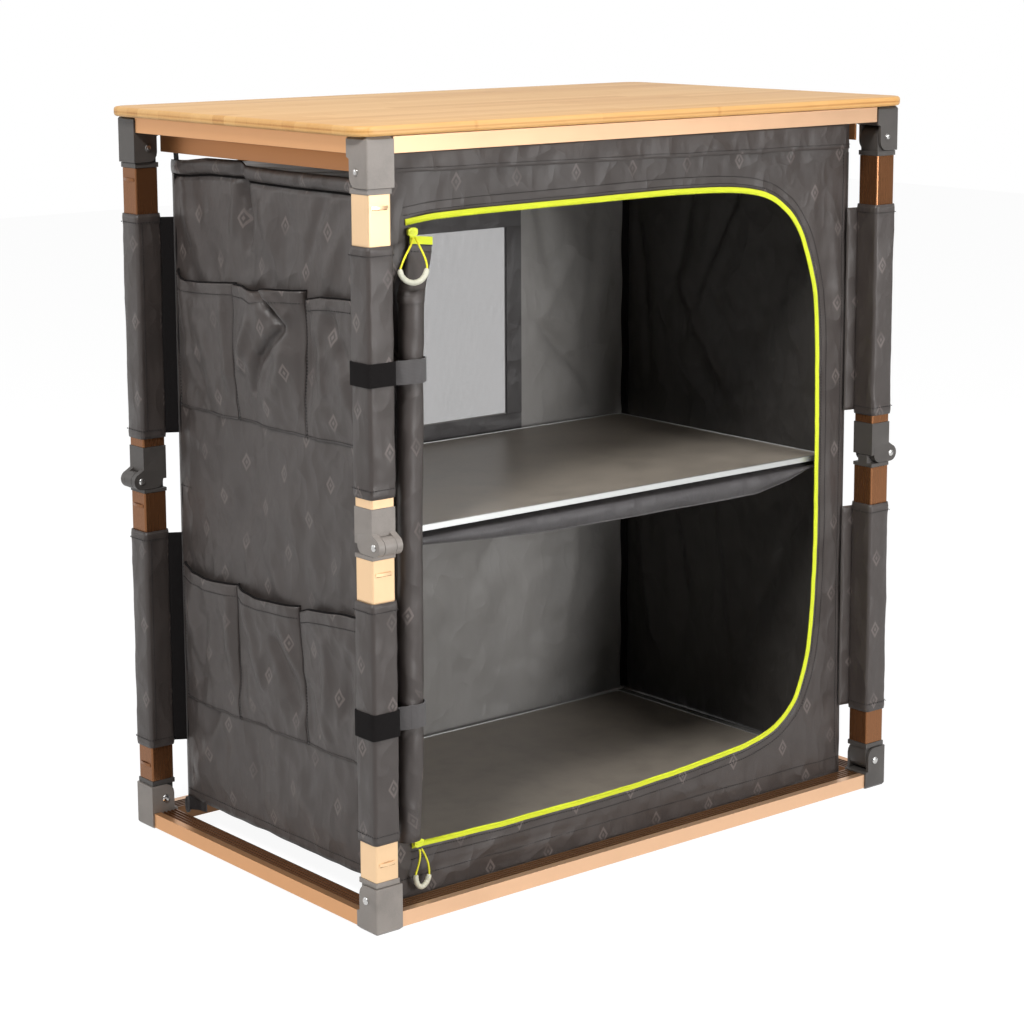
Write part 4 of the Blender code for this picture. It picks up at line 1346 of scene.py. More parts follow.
@dataclass(frozen=True)
class LegSleeves:
    """The fabric sleeves round the leg tubes, their hems and seams, and the web that ties each to the cabinet."""

    frame: FoldingFrame
    spans: tuple[tuple[Half, float, float], ...] = ((Half.LOWER, 0.088, 0.320), (Half.UPPER, 0.418, 0.650))
    inner: float = 0.0136
    wall: float = 0.0010
    rows: int = 58
    web: float = 0.0125
    web_end: Place = (0.3065, -0.1822, 0.1762)
    bands: tuple[tuple[Half, float, float], ...] = ((Half.LOWER, 0.190, 0.215), (Half.UPPER, 0.522, 0.544))

    def build(self) -> None:
        """Makes the sleeves of all four legs and the tape bands of the front left one."""
        for number, leg in enumerate(Leg):
            for half, low, high in self.spans:
                high -= 0.005 if (half, leg) == (Half.UPPER, Leg.FRONT_RIGHT) else 0.0
                name = f"{half.value}_cuff_{leg.label}"
                sleeve = self.sleeve(name, leg, low, high, number * 7.0 + low)
                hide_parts(f"{half.value}_sleeve_{leg.label}")
                seams = stitched(name, self.seam_lines(leg, low, high))
                ride_all([sleeve, seams], f"{half.value}_leg_{leg.label}")
        for half, low, high in self.bands:
            band = self.band(f"{half.value}_loop_band", Leg.FRONT_LEFT, low, high)
            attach(band, f"{half.value}_leg_front_left")

    def ring(self, grow: float, corner: float = 0.003) -> list[Pair]:
        """A rounded square about the tube's middle, in corner coordinates, starting at its inner corner."""
        reach = self.inner + grow - corner
        middle = self.frame.middle
        corners = ((1, 1), (-1, 1), (-1, -1), (1, -1))

        def at(quarter: int, turn: float) -> Pair:
            """A point of a corner's arc, which is at a turn in degrees."""
            sx, sy = corners[quarter % 4]
            return (middle + sx * reach + corner * math.cos(math.radians(turn)),
                    middle + sy * reach + corner * math.sin(math.radians(turn)))

        points = []
        for quarter in range(4):
            points += [at(quarter, 90 * quarter + 30 * step) for step in range(4)]
            (x0, y0), (x1, y1) = points[-1], at(quarter + 1, 90 * quarter + 90)
            points += [(x0 + (x1 - x0) * t, y0 + (y1 - y0) * t) for t in (0.25, 0.5, 0.75)]
        return points

    def sleeve(self, name: str, leg: Leg, low: float, high: float, seed: float) -> Thing:
        """One sleeve: a wrinkled tube with rolled hems and a doubled web at its inner corner.

        Args:
            name: The piece's name.
            leg: The leg.
            low: Its lower end.
            high: Its upper end.
            seed: Where its wrinkles are read from the noise.

        Returns:
            The sleeve.
        """
        middle = self.frame.middle
        flats = [Vector((x - middle, y - middle)) for x, y in self.ring(0.0)]
        around = runs(flats)
        rows = []
        maps = []
        for r in range(self.rows + 1):
            share = r / self.rows
            z = low + (high - low) * share
            end = min(share, 1 - share) * (high - low)
            hem = 0.0007 * bell(end - 0.0045, 0.0035) + (0.0004 if end < 0.009 else 0.0)
            slack = min(1.0, end / 0.012)
            row = []
            for flat in flats:
                out = flat.normalized()
                fold = noisy(out.x * 1.3 + seed, out.y * 1.3, z * 26.0)
                crease = noisy(out.x * 3.0, out.y * 3.0 + seed, z * 80.0 + out.x * 2.0)
                lift = 0.0010 * max(0.0, fold + 0.25) + 0.00055 * max(0.0, crease) + hem
                grown = flat + out * (lift * (0.35 + 0.65 * slack))
                row.append(self.frame.world(leg, middle + grown.x, middle + grown.y, z))
            rows.append([*row, row[0]])
            maps.append([(run, z) for run in (*around, around[-1] + 0.004)])
        piece = Sewing().grid(rows, maps).make(name, OUTER, smooth=60)
        face_away(piece, self.frame.world(leg, middle, middle, (low + high) / 2))
        return joined(name, [thickened(piece, self.wall, 1.0), self.tie(f"{name}_web", leg, low, high, seed)])

    def tie(self, name: str, leg: Leg, low: float, high: float, seed: float) -> Thing:
        """The web from the sleeve's inner corner to the cabinet's corner, slightly rippled."""
        corner = self.frame.middle + self.inner - 0.0012
        _, side, depth, _ = leg.value
        end = Vector((side * self.web_end[0], self.web_end[1 if depth < 0 else 2], 0.0))
        start = self.frame.world(leg, corner, corner, 0.0)
        over = (end - start).cross(UP).normalized()
        rows = []
        maps = []
        for z in (low + 0.004 + (high - low - 0.008) * r / self.rows for r in range(self.rows + 1)):
            row = []
            for share in (c / 4 for c in range(5)):
                ripple = 0.0008 * math.sin(math.pi * share) * noisy(seed, share, z * 30.0)
                row.append(start.lerp(end, share) + over * ripple + UP * z)
            rows.append(row)
            maps.append([(self.web * c / 4, z) for c in range(5)])
        # the back left leg's web takes the black loop tape finish as painted shade
        cloth = LOOP_TAPE if leg is Leg.BACK_LEFT else OUTER
        return thickened(Sewing().grid(rows, maps).make(name, cloth, smooth=60), self.wall, 0.0)

    def seam_lines(self, leg: Leg, low: float, high: float) -> list[list[Spot]]:
        """Stitch lines: one round each hem and one down the sleeve's outer face."""
        lines = []
        middle = self.frame.middle
        proud = self.wall + 0.0011
        ring = self.ring(proud)
        for z in (low + 0.0085, high - 0.0085):
            line = []
            for x, y in (*ring, ring[0]):
                out = Vector((x - middle, y - middle, 0)).normalized()
                line.append((self.frame.world(leg, x, y, z), self.frame.aim(leg, out.x, out.y)))
            lines.append(line)
        far, near = middle + self.inner + proud, middle - self.inner + 0.0050
        lines.append([(self.frame.world(leg, far, near, z), self.frame.aim(leg, 1, 0))
                      for z in np.linspace(low + 0.010, high - 0.010, 40)])
        return lines

    def band(self, name: str, leg: Leg, low: float, high: float) -> Thing:
        """A black loop tape sewn round the sleeve."""
        rings = []
        for grow, corner, heights in ((0.0016, 0.0038, np.linspace(low, high, 6)), (0.0003, 0.0034, (high, low))):
            ring = self.ring(self.wall + grow, corner)
            rings += [[self.frame.world(leg, x, y, z) for x, y in ring] for z in heights]
        rings.append(rings[0])
        return outward(Sewing().grid(rings, closed=True).make(name, LOOP_TAPE, smooth=45))


@dataclass(frozen=True)
class Crease:
    """A ridge or a groove across a cloth, from one point of it to another, in metres."""

    start: Pair
    end: Pair
    height: float
    width: float

    def lift(self, u: float, v: float) -> float:
        """How far the crease lifts the cloth at a point of it."""
        du, dv = self.end[0] - self.start[0], self.end[1] - self.start[1]
        u, v = u - self.start[0], v - self.start[1]
        length = math.hypot(du, dv)
        share = (u * du + v * dv) / (length * length)
        near = ((u * dv - v * du) / length / self.width) ** 2
        if not 0.0 <= share <= 1.0 or near >= 12:
            return 0.0
        return self.height * (1.0 - (2.0 * share - 1.0) ** 4) * math.exp(-near)


def creased(*rows: tuple[float, ...]) -> tuple[Crease, ...]:
    """Creases from rows of millimetres: start, end, height and width."""
    return tuple(Crease((u0 * MM, v0 * MM), (u1 * MM, v1 * MM), height * MM, width * MM)
                 for u0, v0, u1, v1, height, width in rows)


FRONT_CREASES = creased(
    (-300, 640, -286, 500, 2.0, 3.6), (285, 660, 300, 520, 2.0, 5.4), (284, 420, 296, 250, 1.7, 5.4),
    (-200, 50, -120, 20, 2.0, 6.3), (50, 56, 120, 18, 2.0, 7.2), (230, 80, 290, 30, 2.4, 7.2),
    (-150, 700, -80, 676, 1.5, 5.4), (160, 705, 240, 670, 1.7, 5.4),
)
LEFT_CREASES = creased(
    (131, 658, 138, 590, -10.5, 5.2), (119, 660, 112, 600, 4.6, 6.0), (150, 655, 205, 560, 2.2, 8.5),
    (20, 640, 60, 560, 2.5, 10.2), (270, 655, 240, 590, -2.5, 5.9), (310, 640, 255, 555, 2.3, 7.6),
    (20, 405, 120, 335, 2.2, 9.3), (90, 110, 20, 30, 3.2, 10.2), (180, 110, 250, 20, 2.9, 10.2),
    (300, 120, 330, 15, -3.2, 7.6), (130, 100, 150, 10, -2.5, 6.8),
)
RIGHT_CREASES = creased(
    (150, 660, 215, 520, 6.0, 7.2), (170, 600, 250, 420, -4.5, 8.1), (235, 640, 280, 470, 5.1, 9.0),
    (265, 520, 175, 380, -5.1, 7.2), (60, 620, 130, 430, 3.9, 10.8), (335, 600, 310, 380, 4.5, 7.2),
    (50, 300, 140, 120, 4.5, 9.9), (200, 320, 160, 80, -4.5, 9.0), (290, 310, 240, 110, 5.1, 9.0),
    (330, 250, 300, 60, -3.9, 7.2),
)
BACK_CREASES = creased(
    (140, 640, 110, 500, 5.0, 9.9), (70, 560, 150, 430, -4.8, 9.9), (40, 620, 60, 400, 3.4, 9.0),
    (150, 480, 50, 380, 5.6, 7.2), (120, 320, 240, 160, 4.2, 11.7), (300, 330, 200, 120, -3.6, 11.7),
    (420, 320, 330, 140, 3.6, 11.7), (60, 300, 100, 60, -4.2, 9.9),
)


def crease_lift(u: float, v: float, creases: Sequence[Crease]) -> float:
    """How far creases lift a cloth at a point of it."""
    return sum(crease.lift(u, v) for crease in creases)


def left_wall_bend(u: float, v: float) -> Place:
    """The left wall's rolled top hem, its uneven top line and its slack lower edge."""
    top = 0.6695
    droop = np.interp(u, (0.0, 0.03, 0.07, 0.128, 0.138, 0.22, 0.31, 0.354),
                      (0.005, 0.006, 0.0105, 0.0115, 0.0070, 0.0062, 0.0065, 0.0070))
    share = max(0.0, (v - 0.55) / (top - 0.55))
    start = top - 0.0135
    roll = 0.0
    if v > start:
        turn = (v - start) / (top - start)
        roll = 0.0062 * math.sin(math.pi * min(1.0, turn * 0.93)) ** 0.6 * min(1.0, 0.25 + u / 0.02)
        roll *= 1.0 - 0.6 * (bell(u - 0.131, 0.004) + 0.6 * bell(u - 0.232, 0.005))
        roll *= 1.0 + 0.25 * noisy(u * 26.0, 1.0, 2.0)
    elif v > start - 0.006:
        roll = -0.0030 * (1.0 - (start - v) / 0.006)
    belly = 0.0022 * math.sin(math.pi * u / 0.354) * math.sin(math.pi * min(1.0, v / top))
    lower = 0.0015 * max(0.0, 1.0 - v / 0.05) * noisy(u * 30.0, 5.0, 0.0)
    return 0.0, droop * share * share + lower, roll + belly


@dataclass
class Panel:
    """A flat wall of cloth: where its lower left corner is as seen from outside, and how it spreads."""

    name: str
    origin: Vector
    across: Vector
    up: Vector
    wide: float
    tall: float
    cells: tuple[int, int] = (70, 130)
    thick: float = 0.0011
    creases: tuple[Crease, ...] = ()
    ripple: float = 0.0012
    seed: float = 0.0
    fine_top: bool = False

    def __post_init__(self) -> None:
        """Finds the direction that the panel faces."""
        self.out = self.across.cross(self.up)

    def lift(self, u: float, v: float) -> float:
        """The relief of the cloth, in metres outwards."""
        seed = self.seed
        soft = noisy(u * 9.0 + seed, v * 7.0, seed * 1.7)
        fine = noisy(u * 34.0, v * 22.0 + seed, 3.0 + seed)
        slant = noisy((u + v * 0.6) * 30.0, (v - u * 0.6) * 6.0, seed)
        calm = min(1.0, max(0.0, min(u, self.wide - u, v, self.tall - v) / 0.03))
        fold = 1.0 - 2.6 * abs(noisy(u * 13.0 - seed, v * 11.0, seed * 3.1))
        crumple = 1.0 - 2.6 * abs(noisy(u * 27.0 + seed, v * 25.0, seed * 0.7 + 6.0))
        lift = self.ripple * calm * (soft * 1.1 + fine * 0.35 + slant * 0.5 + fold * 0.9 + crumple * 0.45)
        return lift + crease_lift(u, v, self.creases)

    def flat(self, u: float, v: float, out: float) -> Vector:
        """A point of the panel without its relief, with something outwards."""
        return self.origin + self.across * u + self.up * v + self.out * out

    def at(self, u: float, v: float, extra: float = 0.0) -> Vector:
        """A point of the panel, with something more outwards."""
        return self.flat(u, v, self.lift(u, v) + extra)

    def build(self, outer: Finish, inner: Finish, bend: Callable[[float, float], Place] | None = None) -> Thing:
        """The panel as a thick sheet with a lining.

        Args:
            outer: The finish of its outside.
            inner: The finish of its inside.
            bend: Moves a point across, up and out.

        Returns:
            The sheet.
        """
        wide, tall = self.cells
        rows = []
        maps = []
        split = 0.950 if self.fine_top else 1.0
        levels = [*np.linspace(0.0, split, tall + 1), *(np.linspace(split, 1.0, 27)[1:] if self.fine_top else ())]
        columns = [self.wide * c / wide for c in range(wide + 1)]
        for v in (self.tall * share for share in levels):
            row = []
            for u in columns:
                du, dv, dw = bend(u, v) if bend else (0.0, 0.0, 0.0)
                row.append(self.at(u, v) + self.across * du + self.up * dv + self.out * dw)
            rows.append(row)
            maps.append([(self.seed * 0.13 + u, v) for u in columns])
        return thickened(Sewing().grid(rows, maps).make(self.name, outer, inner, smooth=70), self.thick, lining=1)

    def line(self, *points: Pair, extra: float = 0.0003, step: float = 0.012) -> list[Spot]:
        """A line on the panel for stitches, from corner to corner of a path, as place and direction."""
        line = []
        for (u0, v0), (u1, v1) in zip(points, points[1:]):
            count = max(1, round(math.hypot(u1 - u0, v1 - v0) / step))
            line += [(self.at(u0 + (u1 - u0) * i / count, v0 + (v1 - v0) * i / count, extra), self.out)
                     for i in range(count)]
        return [*line, (self.at(*points[-1], extra), self.out)]

    def hem(self, v: float) -> list[Spot]:
        """A stitch line along the panel at a height."""
        return self.line((0.004, v), (self.wide - 0.004, v))


def window_calm(panel: Panel, window: tuple[float, ...], u: float, v: float) -> Place:
    """Takes a panel's relief away at its window, so that the binding lies flat there."""
    u0, u1, v0, v1 = window
    off = max(u0 - 0.022 - u, u - u1 - 0.022, v0 - 0.022 - v, v - v1 - 0.022, 0.0)
    share = max(0.0, 1.0 - off / 0.03)
    return 0.0, 0.0, -panel.lift(u, v) * share * share * (3 - 2 * share)


def outer_point(middle: Pair, point: Pair, low: Pair, high: Pair) -> Pair:
    """Where the line from the middle through a point meets a rectangle.

    Args:
        middle: A point inside the rectangle.
        point: Another point.
        low: The rectangle's lower left corner.
        high: Its upper right corner.

    Returns:
        The point on the rectangle.
    """
    reach = min(((high[i] if point[i] > middle[i] else low[i]) - middle[i]) / (point[i] - middle[i])
                for i in (0, 1) if abs(point[i] - middle[i]) > 1e-9)
    return tuple(middle[i] + (point[i] - middle[i]) * reach for i in (0, 1))


@dataclass(frozen=True)
class PocketShape:
    """How one pocket hangs: its swell, its top line, how its edge leans, and its creases."""

    bulge: float
    top: tuple[tuple[float, ...], tuple[float, ...]]
    seed: float
    creases: tuple[Crease, ...]
    lean: Pair = (0.0, 0.0)


@dataclass(frozen=True)
class PocketRow:
    """A row of pockets: its heights, the y of its seams from the back, and its pockets."""

    low: float
    high: float
    edges: tuple[float, ...]
    shapes: tuple[PocketShape, ...]


POCKETS = {
    "upper": PocketRow(0.4522, 0.5880, (0.166, 0.0570, -0.0655, -0.166), (
        PocketShape(0.0075, ((0.0, 0.10, 0.22, 0.90, 1.0), (0.5930, 0.5860, 0.5835, 0.5885, 0.5890)), 0.4, creased(
            (12, 130, 30, 30, 2.6, 8.0), (92, 130, 100, 20, 3.6, 5.5), (50, 100, 75, 10, 2.2, 10.0),
            (30, 60, 55, 10, -2.0, 7.0))),
        PocketShape(0.0150, ((0.0, 0.25, 0.37, 0.60, 1.0), (0.5890, 0.5900, 0.5860, 0.5915, 0.5935)), 1.9, creased(
            (40, 146, 80, 114, -11.5, 5.8), (72, 122, 97, 98, -12.0, 5.4), (98, 104, 45, 66, -11.2, 5.6),
            (54, 75, 36, 30, -8.0, 5.6), (60, 143, 106, 106, 4.4, 6.0), (40, 110, 14, 50, 5.0, 7.0),
            (100, 86, 70, 30, 3.4, 9.0), (116, 120, 120, 20, -3.4, 5.0))),
        PocketShape(0.0085, ((0.0, 0.30, 1.0), (0.5850, 0.5905, 0.5940)), 3.1, creased(
            (7, 130, 8, 10, -5.5, 3.4), (24, 110, 30, 40, 3.6, 6.0), (40, 126, 70, 70, -2.6, 7.0),
            (60, 80, 80, 20, 2.6, 9.0))),
    )),
    "lower": PocketRow(0.1425, 0.2800, (0.166, 0.0610, -0.0520, -0.166), (
        PocketShape(0.0080, ((0.0, 0.45, 1.0), (0.2860, 0.2806, 0.2820)), 5.2, creased(
            (15, 125, 40, 30, 2.6, 9.0), (92, 130, 98, 30, 4.0, 6.0), (60, 110, 30, 20, -2.0, 8.0))),
        PocketShape(0.0100, ((0.0, 0.10, 0.40, 1.0), (0.2830, 0.2822, 0.2775, 0.2800)), 6.6, creased(
            (20, 130, 50, 40, 4.0, 9.0), (66, 105, 108, 30, -5.6, 6.0), (6, 60, 10, 6, -5.0, 4.0),
            (80, 120, 112, 60, 3.4, 6.0)), (0.0, -0.0070)),
        PocketShape(0.0090, ((0.0, 0.20, 0.60, 1.0), (0.2750, 0.2830, 0.2880, 0.2900)), 8.3, creased(
            (8, 70, 12, 10, -5.0, 3.8), (45, 120, 40, 30, 3.4, 7.0), (85, 110, 70, 40, -3.0, 7.0),
            (24, 60, 44, 10, 3.0, 7.0)), (-0.0070, 0.0)),
    )),
}


@dataclass
class Cabinet:
    """The fabric cabinet: walls with a lining, roof, floor, sling, window, pockets, zip and hems."""

    side: float = 0.3105
    front: float = -0.1795
    back: float = 0.1745
    low: float = 0.0305
    high: float = 0.7000
    panel_low: float = 0.0125
    panel_high: float = 0.7310
    panel_middle: Pair = (-0.01, 0.37)
    door_left: float = -0.2745
    door: tuple[Pair, ...] = (
        (-0.2819, 0.6633), (-0.2691, 0.6648), (-0.2504, 0.6667), (-0.2184, 0.6676), (-0.1943, 0.6681),
        (-0.1200, 0.6688), (-0.0435, 0.6695), (0.0094, 0.6701), (0.0520, 0.6702), (0.0914, 0.6696),
        (0.1200, 0.6686), (0.1470, 0.6666), (0.1700, 0.6631), (0.1890, 0.6580), (0.2045, 0.6502),
        (0.2215, 0.6370), (0.2350, 0.6202), (0.2455, 0.5990), (0.2525, 0.5773), (0.2575, 0.5600),
        (0.2604, 0.5420), (0.2627, 0.5100), (0.2640, 0.4600), (0.2648, 0.3940), (0.2650, 0.3300),
        (0.2645, 0.2700), (0.2625, 0.2100), (0.2570, 0.1640), (0.2460, 0.1290), (0.2300, 0.1045),
        (0.2050, 0.0880), (0.1730, 0.0790), (0.1300, 0.0740), (0.0700, 0.0695), (0.0000, 0.0665),
        (-0.0700, 0.0655), (-0.1710, 0.0655), (-0.2400, 0.0668), (-0.2819, 0.0680),
    )
    window: Place = (0.1285, 0.3900, 0.6065)
    tape: tuple[Pair, ...] = ((-0.0029, 0.0005), (-0.0029, -0.0004), (-0.0010, -0.0007), (0.0010, -0.0006),
                              (0.0026, -0.0002), (0.0026, 0.0005))
    sling_half: float = 0.2885
    sling_length: float = 0.352
    sling_drop: int = 8
    sling_back: tuple[Pair, ...] = ((0.1660, 0.3672), (0.10, 0.3668), (0.0, 0.3664), (-0.10, 0.3664),
                                    (-0.150, 0.3660), (-0.166, 0.3640))
    sling_hem: tuple[tuple[float, ...], ...] = (
        (-0.2885, -0.259, -0.18, -0.0985, 0.0, 0.0646, 0.14, 0.189, 0.235, 0.264, 0.2885),
        (0.3590, 0.3569, 0.3510, 0.3467, 0.3455, 0.3453, 0.3446, 0.3450, 0.3530, 0.3616, 0.3650))
    pocket_cells: tuple[int, int] = (56, 62)

    def build(self) -> None:
        """Makes the cabinet."""
        self.side_walls()
        self.back_wall()
        self.front_panel()
        self.zip_track()
        self.inner_cloths()
        self.sling()
        self.corner_piping()
        for level, row in POCKETS.items():
            for number, (back, front, shape) in enumerate(zip(row.edges, row.edges[1:], row.shapes)):
                self.pocket(f"{level}_pocket_{number}", back, front, row, shape)
        self.straps()
        LOG.info("cabinet: cloth panels, pockets, zip and straps")

    def declare(self, piece: Thing, wide: float, tall: float, *extras: Thing, held: str = "hung",
                area: float | None = None, lean: float = 0.0) -> None:
        """Makes a sheet and its extras ride on the base."""
        fold_down(piece, *extras, lean=lean)

    def side_walls(self) -> None:
        """The left wall, with its rolled top hem, and the right wall."""
        depth = self.back - self.front
        tall = self.high - self.low
        left = Panel("left_wall", Vector((-self.side, self.back, self.low)), FORWARD, UP, depth, tall, (88, 150),
                     creases=LEFT_CREASES, ripple=0.0028, seed=1.3, fine_top=True)
        self.left = left
        sheet = left.build(OUTER, LINING, bend=left_wall_bend)
        seam = left.line((0.004, 0.3375), (0.12, 0.3390), (0.24, 0.3415), (depth - 0.004, 0.3440))
        seams = stitched("left_wall", [seam, left.hem(0.010)])
        # a black bar along the wall just under the rolled hem: painted shadow beneath the hem
        under = []
        for u in np.linspace(0.003, depth - 0.003, 90):
            _, dv, dw = left_wall_bend(u, 0.6550)
            under.append(left.at(u, 0.6550, 0.0008 + dw) + UP * dv)
        hem_painted_shadow = bar("left_wall_hem_painted_shadow", under, 0.0012, 0.0022, LOOP_TAPE)
        self.declare(sheet, depth, tall + 0.03, seams, hem_painted_shadow, lean=SIDE_LEAN)
        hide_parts("fabric_cabinet")
        right = Panel("right_wall", Vector((self.side, self.front, self.low)), -FORWARD, UP, depth, tall,
                      creases=RIGHT_CREASES, ripple=0.0020, seed=4.1)
        # the right wall's inside takes the lining's darker copy, which is painted shade
        sheet = right.build(OUTER, LINING_PAINTED_SHADE)
        seams = stitched("right_wall", [
            right.hem(0.010), right.hem(tall - 0.012),
            *(right.line((u, 0.004), (u, tall - 0.004)) for u in (0.012, depth - 0.012))])
        self.declare(sheet, depth, tall, seams)

    def back_wall(self) -> None:
        """The back wall, with a netting window of which the cloth is cut away, and its binding."""
        wide = 2 * self.side
        tall = self.high - self.low
        back = Panel("back_wall", Vector((self.side, self.back, self.low)), Vector((-1, 0, 0)), UP, wide, tall,
                     (110, 124), creases=BACK_CREASES, ripple=0.0026, seed=7.7)
        half, sill, head = self.window
        window = (self.side - half, self.side + half, sill - self.low, head - self.low)
        sheet = back.build(OUTER, LINING, bend=lambda u, v: window_calm(back, window, u, v))
        opened(sheet, lambda p: abs(p.x) < half and sill < p.z < head)
        u0, u1, v0, v1 = window
        corners = ((u0, v0), (u1, v0), (u1, v1), (u0, v1), (u0, v0))
        border = joined("window_binding", [
            self.binding(f"window_binding_{face}_{i}", back, a, b, offset)
            for i, (a, b) in enumerate(zip(corners, corners[1:]))
            for face, offset in (("out", 0.0008), ("in", -0.0019))])
        netting = self.netting(back, window)
        out = 0.018
        around = ((u0 - out, v0 - out), (u1 + out, v0 - out), (u1 + out, v1 + out), (u0 - out, v1 + out),
                  (u0 - out, v0 - out))
        seams = stitched("back_wall", [back.line(*around, extra=0.0014), back.hem(0.010), back.hem(tall - 0.012)])
        self.declare(sheet, wide, tall, border, seams, area=wide * tall - 2 * half * (head - sill))
        self.declare(netting, 2 * half + 0.010, head - sill + 0.010, held="stretched")

    def binding(self, name: str, panel: Panel, a: Pair, b: Pair, offset: float) -> Thing:
        """One side of the window's binding, 20 mm wide, along an edge of the window."""
        du, dv = b[0] - a[0], b[1] - a[1]
        length = math.hypot(du, dv)
        nu, nv = dv / length, -du / length
        ends = 0.020 if abs(dv) < 1e-6 else -0.0008
        line = []
        for share in (i / 24 for i in range(25)):
            run = -ends + (length + 2 * ends) * share
            line.append(panel.flat(a[0] + du / length * run + nu * 0.0095, a[1] + dv / length * run + nv * 0.0095,
                                   offset))
        return bar(name, line, 0.0011, 0.0215, TRIM, panel.across * nu + panel.up * nv)

    def netting(self, panel: Panel, window: tuple[float, ...]) -> Thing:
        """The netting behind the window, a single thin layer with two faces."""
        u0, u1, v0, v1 = window
        across = [u0 - 0.005 + (u1 - u0 + 0.010) * c / 30 for c in range(31)]
        rows = []
        maps = []
        for v in (v0 - 0.005 + (v1 - v0 + 0.010) * r / 24 for r in range(25)):
            rows.append([panel.flat(u, v, 0.0004 * noisy(u * 12.0, v * 12.0, 4.0) - 0.0006) for u in across])
            maps.append([(c * (u1 - u0) / 30, v) for c in range(31)])
        return Sewing().grid(rows, maps).make("window_netting_panel", NETTING)

    def door_path(self, offset: float, count: int = 3) -> list[Pair]:
        """The door's edge in x and z, moved outwards, with points added between."""
        points = [Vector(p) for p in self.door]
        fine = smoothed(points, 2 * points[0] - points[1], 2 * points[-1] - points[-2], count)
        path = []
        for i, point in enumerate(fine):
            ahead = heading(fine, i).normalized()
            path.append((point.x - ahead.y * offset, point.y + ahead.x * offset))
        return path

    def front_point(self, x: float, z: float, extra: float = 0.0) -> Vector:
        """A point of the front panel, with its relief and something more outwards."""
        lift = 0.0015 * noisy(x * 8.0, z * 8.0, 11.0) + 0.0008 * noisy(x * 30.0, z * 40.0, 12.0)
        lift += 0.0009 * noisy(x * 60.0, z * 9.0, 13.0) - 0.0010 * bell(z - 0.0360, 0.0016)
        return Vector((x, self.front - lift - crease_lift(x, z, FRONT_CREASES) - extra, z))

    def front_line(self, path: Sequence[Pair], extra: float) -> list[Spot]:
        """A stitch line on the front panel."""
        return [(self.front_point(x, z, extra), FORWARD) for x, z in path]

    def front_panel(self) -> None:
        """The front panel round the door opening, with its top band, side strips and skirt."""
        left, right, bottom, top = -self.side, self.side, self.panel_low, self.panel_high
        inner = [(max(x, self.door_left), z) for x, z in self.door_path(0.0040)]
        closing = [(self.door_left, z) for z in np.linspace(inner[-1][1], inner[0][1], 60)[1:-1]]
        loop = inner + closing
        ring = [outer_point(self.panel_middle, p, (left, bottom), (right, top)) for p in loop]
        for corner in ((left, top), (right, top), (right, bottom), (left, bottom)):
            nearest = min(range(len(ring)), key=lambda i: math.dist(ring[i], corner))
            ring[nearest] = corner
        maps = [[(x0 + (x1 - x0) * t, z0 + (z1 - z0) * t) for (x0, z0), (x1, z1) in zip(loop, ring)]
                for t in (layer / 12 for layer in range(13))]
        rows = [[self.front_point(x, z) for x, z in line] for line in maps]
        piece = Sewing().grid(rows, maps, closed=True).make("front_wall", OUTER, LINING, smooth=70)
        if sum(face.normal.y for face in piece.data.polygons) > 0:
            piece.data.flip_normals()
        area = max(0.302 * (right - left) * (top - bottom), sum(face.area for face in piece.data.polygons))
        LOG.info("front panel: %.4f square metres of cloth", area)
        thickened(piece, 0.0012, lining=1)
        paths = [self.door_path(0.0090), self.door_path(0.0165),
                 [(x, 0.0335) for x in np.linspace(left + 0.003, right - 0.003, 60)],
                 [(right - 0.008, z) for z in np.linspace(0.04, 0.70, 50)]]
        seams = stitched("front_wall", [self.front_line(path, 0.0004) for path in paths])
        self.declare(piece, right - left, top - bottom, seams, *self.top_band(), area=area)

    def top_band(self) -> tuple[Thing, Thing]:
        """The doubled band above the door, whose lower edge laps over the panel, and its stitches."""
        rows = []
        for share in (r / 8 for r in range(9)):
            row = []
            for x in np.linspace(-self.side + 0.001, self.side - 0.0035, 120):
                low = 0.7085 - 0.004 * x / 0.3 + 0.0007 * noisy(x * 20.0, 1.0, 4.0)
                wave = noisy(x * 34.0, share * 1.5, 9.0) + 0.6 * noisy(x * 75.0, share, 2.0)
                flare = 0.0007 * (1.0 - share) ** 3 + 0.0006 * wave
                row.append(Vector((x, self.front - 0.0026 - flare, low + (0.7312 - low) * share)))
            rows.append(row)
        maps = [[(p.x, p.z) for p in row] for row in rows]
        band = thickened(Sewing().grid(rows, maps).make("front_top_band", OUTER, smooth=70), 0.0014, 0.0)
        line = [(p + FORWARD * 0.0008 + UP * 0.0012, FORWARD) for p in rows[1]]
        return band, stitched("front_top_band", [line])

    def zip_track(self) -> None:
        """The lime zip tape round the door, its teeth and its cord edge."""
        line = [self.front_point(x, z, 0.0006) for x, z in self.door_path(0.0030, 6)]
        rings = []
        for i, point in enumerate(line):
            ahead = heading(line, i).normalized()
            side = Vector((-ahead.z, 0, ahead.x))
            rings.append([point + side * a + Vector((0, b, 0)) for a, b in self.tape])
        maps = [[(a, run) for a, _ in self.tape] for run in runs(line)]
        tape = lofted("zip_tape", rings, LIME_TAPE, maps, 50)
        teeth = teeth_tree().grow("zip_teeth_row", [self.front_line(self.door_path(0.0008, 6), 0.0014)], TOOTH)
        fold_down(tape, teeth)

    def inner_cloths(self) -> None:
        """The roof and the floor cloth."""
        wide = 2 * self.side - 0.004
        depth = self.back - self.front - 0.004
        for name, y, z, up, cloth, seed in (
                ("roof_cloth", self.front + 0.002, self.high - 0.0016, 1, OUTER, 2.2),
                ("floor_cloth", self.back - 0.002, self.low + 0.0010, -1, TRIM, 5.5)):
            panel = Panel(name, Vector((-wide / 2, y, z)), Vector((1, 0, 0)), Vector((0, up, 0)), wide, depth,
                          (60, 36), ripple=0.0006, seed=seed)
            self.declare(panel.build(cloth, LINING), wide, depth, held="stretched")

